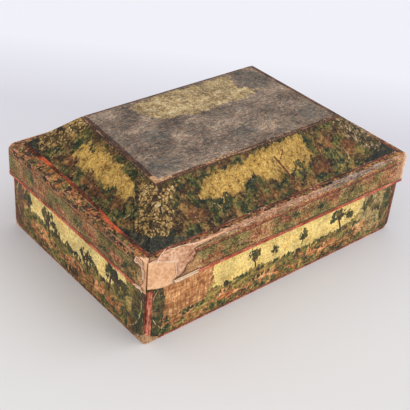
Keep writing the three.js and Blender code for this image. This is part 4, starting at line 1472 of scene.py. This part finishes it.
# Places along the left slope, and how far up it the red line at its foot runs at each
SLOPE_FOOT_RED = ([-110, -6, 30, 74], [4.2, 3.8, 1.4, -4])

TOP_PICTURE = {
    "sky": [(-70, 64), (-62, 44), (-56, 26), (-30, 20), (-8, 14), (24, 18), (52, 14), (86, 24), (64, 38),
            (70, 54), (80, 66), (30, 68), (-20, 70)],
    "tree": [(-80, 2, 18, 12), (-104, -50, 16, 14), (8, -38, 16, 8), (96, -46, 16, 14), (92, 46, 18, 24)],
    "earth": [(40, -44, 24, 12), (-30, -66, 60, 6), (-122, -66, 14, 7)],
}


def slope_fields(side):
    picture = SLOPE_PICTURES[side]
    foot_start, foot_end, top_end, top_start = (slope_along(side, c) for c in slope_corners(side))
    length = slope_length(side)

    def fields(uv):
        u, v = uv.T
        t = v / length
        left = u - (foot_start + t * (top_start - foot_start))
        right = (foot_end + t * (top_end - foot_end)) - u
        hip = np.minimum(left, right)
        crowns = [disc for place in picture["tree"] for disc in tree(*place)]
        return {
            "sky": patch(uv, picture["sky"]),
            "tree": discs(uv, crowns),
            "trunk": trunks(uv, picture["trunk"]),
            "earth": ovals(uv, picture["earth"]),
            "vine": scrolls(uv, picture["vine"]),
            "hip": hip,
            "head": length - v,
            "pool": 19 - hip * 0.35 - v * 1.25,
            "line": v - (np.interp(u, *SLOPE_FOOT_RED) if side == "left" else -9),
        }

    return fields


def top_fields(uv):
    return {"sky": patch(uv, TOP_PICTURE["sky"]), "tree": ovals(uv, TOP_PICTURE["tree"]),
            "earth": ovals(uv, TOP_PICTURE["earth"])}


def make_slopes():
    trim = 0.06
    for side in SIDES:
        length = slope_length(side)
        heights = (trim, trim, length - trim, length - trim)
        corners = [(slope_along(side, c), v) for c, v in zip(slope_corners(side), heights)]
        made = sheet(outline(corners), slope_place(side), fields=slope_fields(side), **ON_ROOF)
        piece(f"{side}_slope_painting", [made], SLOPE, "lid", (f"slope_paper_{side}",))


def make_top():
    top = [c[:2] for c in TOP_CORNERS]
    made = sheet(outline(top), flat_place(TOP_Z), spacing=1.9, fields=top_fields, **ON_ROOF)
    piece("top_painting", [made], TOP, "lid", ("top_paper",))
    lines = []
    middle = np.mean(top, axis=0)
    for k in range(4):
        a, b = top[k], top[(k + 1) % 4]
        inset = [end + (middle - end) * TOP_EDGE_INSET for end in (b, a)]
        edge = outline([a, b, *inset], [0.1, 0.04, 0.9, 0.04], step=1.0, seed=30.0 + k)
        lines.append(sheet(edge, flat_place(TOP_Z + OVER_PAPER), spacing=1.2, **ON_PAPER, **ON_ROOF))
    piece("top_edge_line", lines, TOP_EDGE, "lid", ("top_edge_strip",))


def lower_strip_place(side):
    """Round the lid's lower edge: height on the outside, and below the edge the way in under it."""
    outside = wall_place(side, grown(LID, OVER_PAPER))

    def place(uv):
        points = outside(np.column_stack([uv[:, 0], np.maximum(uv[:, 1], LID_FOOT)]))
        under = np.maximum(LID_FOOT - uv[:, 1], 0)
        return points - turned(side, np.zeros(len(uv)), under, 0.0)

    return place


def make_lower_strip():
    parts = []
    for side in SIDES:
        reach = wall_reach(side, grown(LID, OVER_PAPER)) - 0.1
        start = LOWER_STRIP_START - LID_X if side == "front" else -reach
        end = LID_Y - LOWER_STRIP_END if side == "left" else reach
        under, top = LID_FOOT - LOWER_STRIP_TURN, LID_STRIP_TOP
        cut = under - LID_FOOT
        a = start - (cut if start == -reach else 0)
        b = end + (cut if end == reach else 0)
        edge = outline([(a, under), (b, under), (end, LID_FOOT), (end, top), (start, top), (start, LID_FOOT)],
                       [0.05, 0.02, 0.3, 0.6, 0.3, 0.02], step=1.0, seed=40.0)
        parts.append(sheet(edge, lower_strip_place(side), spacing=1.1, wobble=LID_WOBBLE, **ON_PAPER))
    piece("lid_lower_strip", parts, RED, "lid", ("lid_edge_strip",))


make_tray_walls()
make_tray_strips()
make_skirt_papers()
make_skirt_boards()
make_torn_ply()
make_flaps()
make_ledge()
make_foot_lines()
make_slopes()
make_top()
make_lower_strip()

# Pieces that keep their CAD shape
for name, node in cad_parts.items():
    material = None
    if "lining" in name:
        material = LINING
    elif name == "tray_floor_board":
        material = BOARD
    elif name.startswith(("top_board", "slope_board", "ledge_board")):
        material = DARK_BOARD
    elif name == "tray_rim_binding":
        material = RIM_RED
    if material is not None:
        node.data.materials.clear()
        node.data.materials.append(material)


# Floor, light and camera, in metres

FLOOR_HALF = 6.0
WORLD_STRENGTH = 0.9
SUN_STRENGTH = 0.85
SUN_SPREAD = math.radians(60)
SUN_DIRECTION = (-0.62, 0.5, -0.62)
SENSOR_WIDTH = 36.0
LENS = 79.59
CAMERA_PLACE = (-0.5693, -0.6188, 0.5925)
CAMERA_FORWARD = (0.55951, 0.6123, -0.55861)
CAMERA_RIGHT = (0.76941, -0.63429, 0.0754)


def added(name, data):
    """A new object in the scene."""
    made = bpy.data.objects.new(name, data)
    bpy.context.scene.collection.objects.link(made)
    return made


def make_stage():
    p = Paint("floor")
    # Painted light: the floor's colour goes lighter and darker with distance, brightest far off, in place of
    # uneven light on it.
    away = (p.x + p.y) * (1 / 900) + 0.289
    colour = p.ramp(away, (0.0, (225, 223, 223)), (0.29, (221, 220, 224)), (0.67, (213, 212, 221)),
                    (1.0, (235, 235, 243)))
    mesh = bpy.data.meshes.new("floor")
    corners = [(x * FLOOR_HALF, y * FLOOR_HALF, 0) for x, y in CORNERS]
    mesh.from_pydata(corners, [], [(0, 1, 2, 3)])
    mesh.materials.append(p.finish(colour, 0.8, specular=0.1))
    floor = added("floor", mesh)


def make_lights():
    world = bpy.data.worlds.new("studio")
    world.use_nodes = True
    background = world.node_tree.nodes["Background"]
    background.inputs["Color"].default_value = (1.0, 1.0, 1.0, 1.0)
    background.inputs["Strength"].default_value = WORLD_STRENGTH
    bpy.context.scene.world = world
    light = bpy.data.lights.new("key", "SUN")
    light.angle = SUN_SPREAD
    light.energy = SUN_STRENGTH
    lamp = added("key", light)
    lamp.rotation_mode = "QUATERNION"
    lamp.rotation_quaternion = Vector(SUN_DIRECTION).to_track_quat("-Z", "Y")


def make_camera():
    data = bpy.data.cameras.new("camera")
    data.sensor_width = SENSOR_WIDTH
    data.lens = LENS
    data.clip_end = 20.0
    forward, right = (Vector(way).normalized() for way in (CAMERA_FORWARD, CAMERA_RIGHT))
    turn = Matrix((right, right.cross(forward), -forward)).transposed()
    camera = added("camera", data)
    camera.matrix_world = Matrix.Translation(CAMERA_PLACE) @ turn.to_4x4()
    bpy.context.scene.camera = camera


make_stage()
make_lights()
make_camera()
bpy.context.scene.view_settings.view_transform = "Standard"
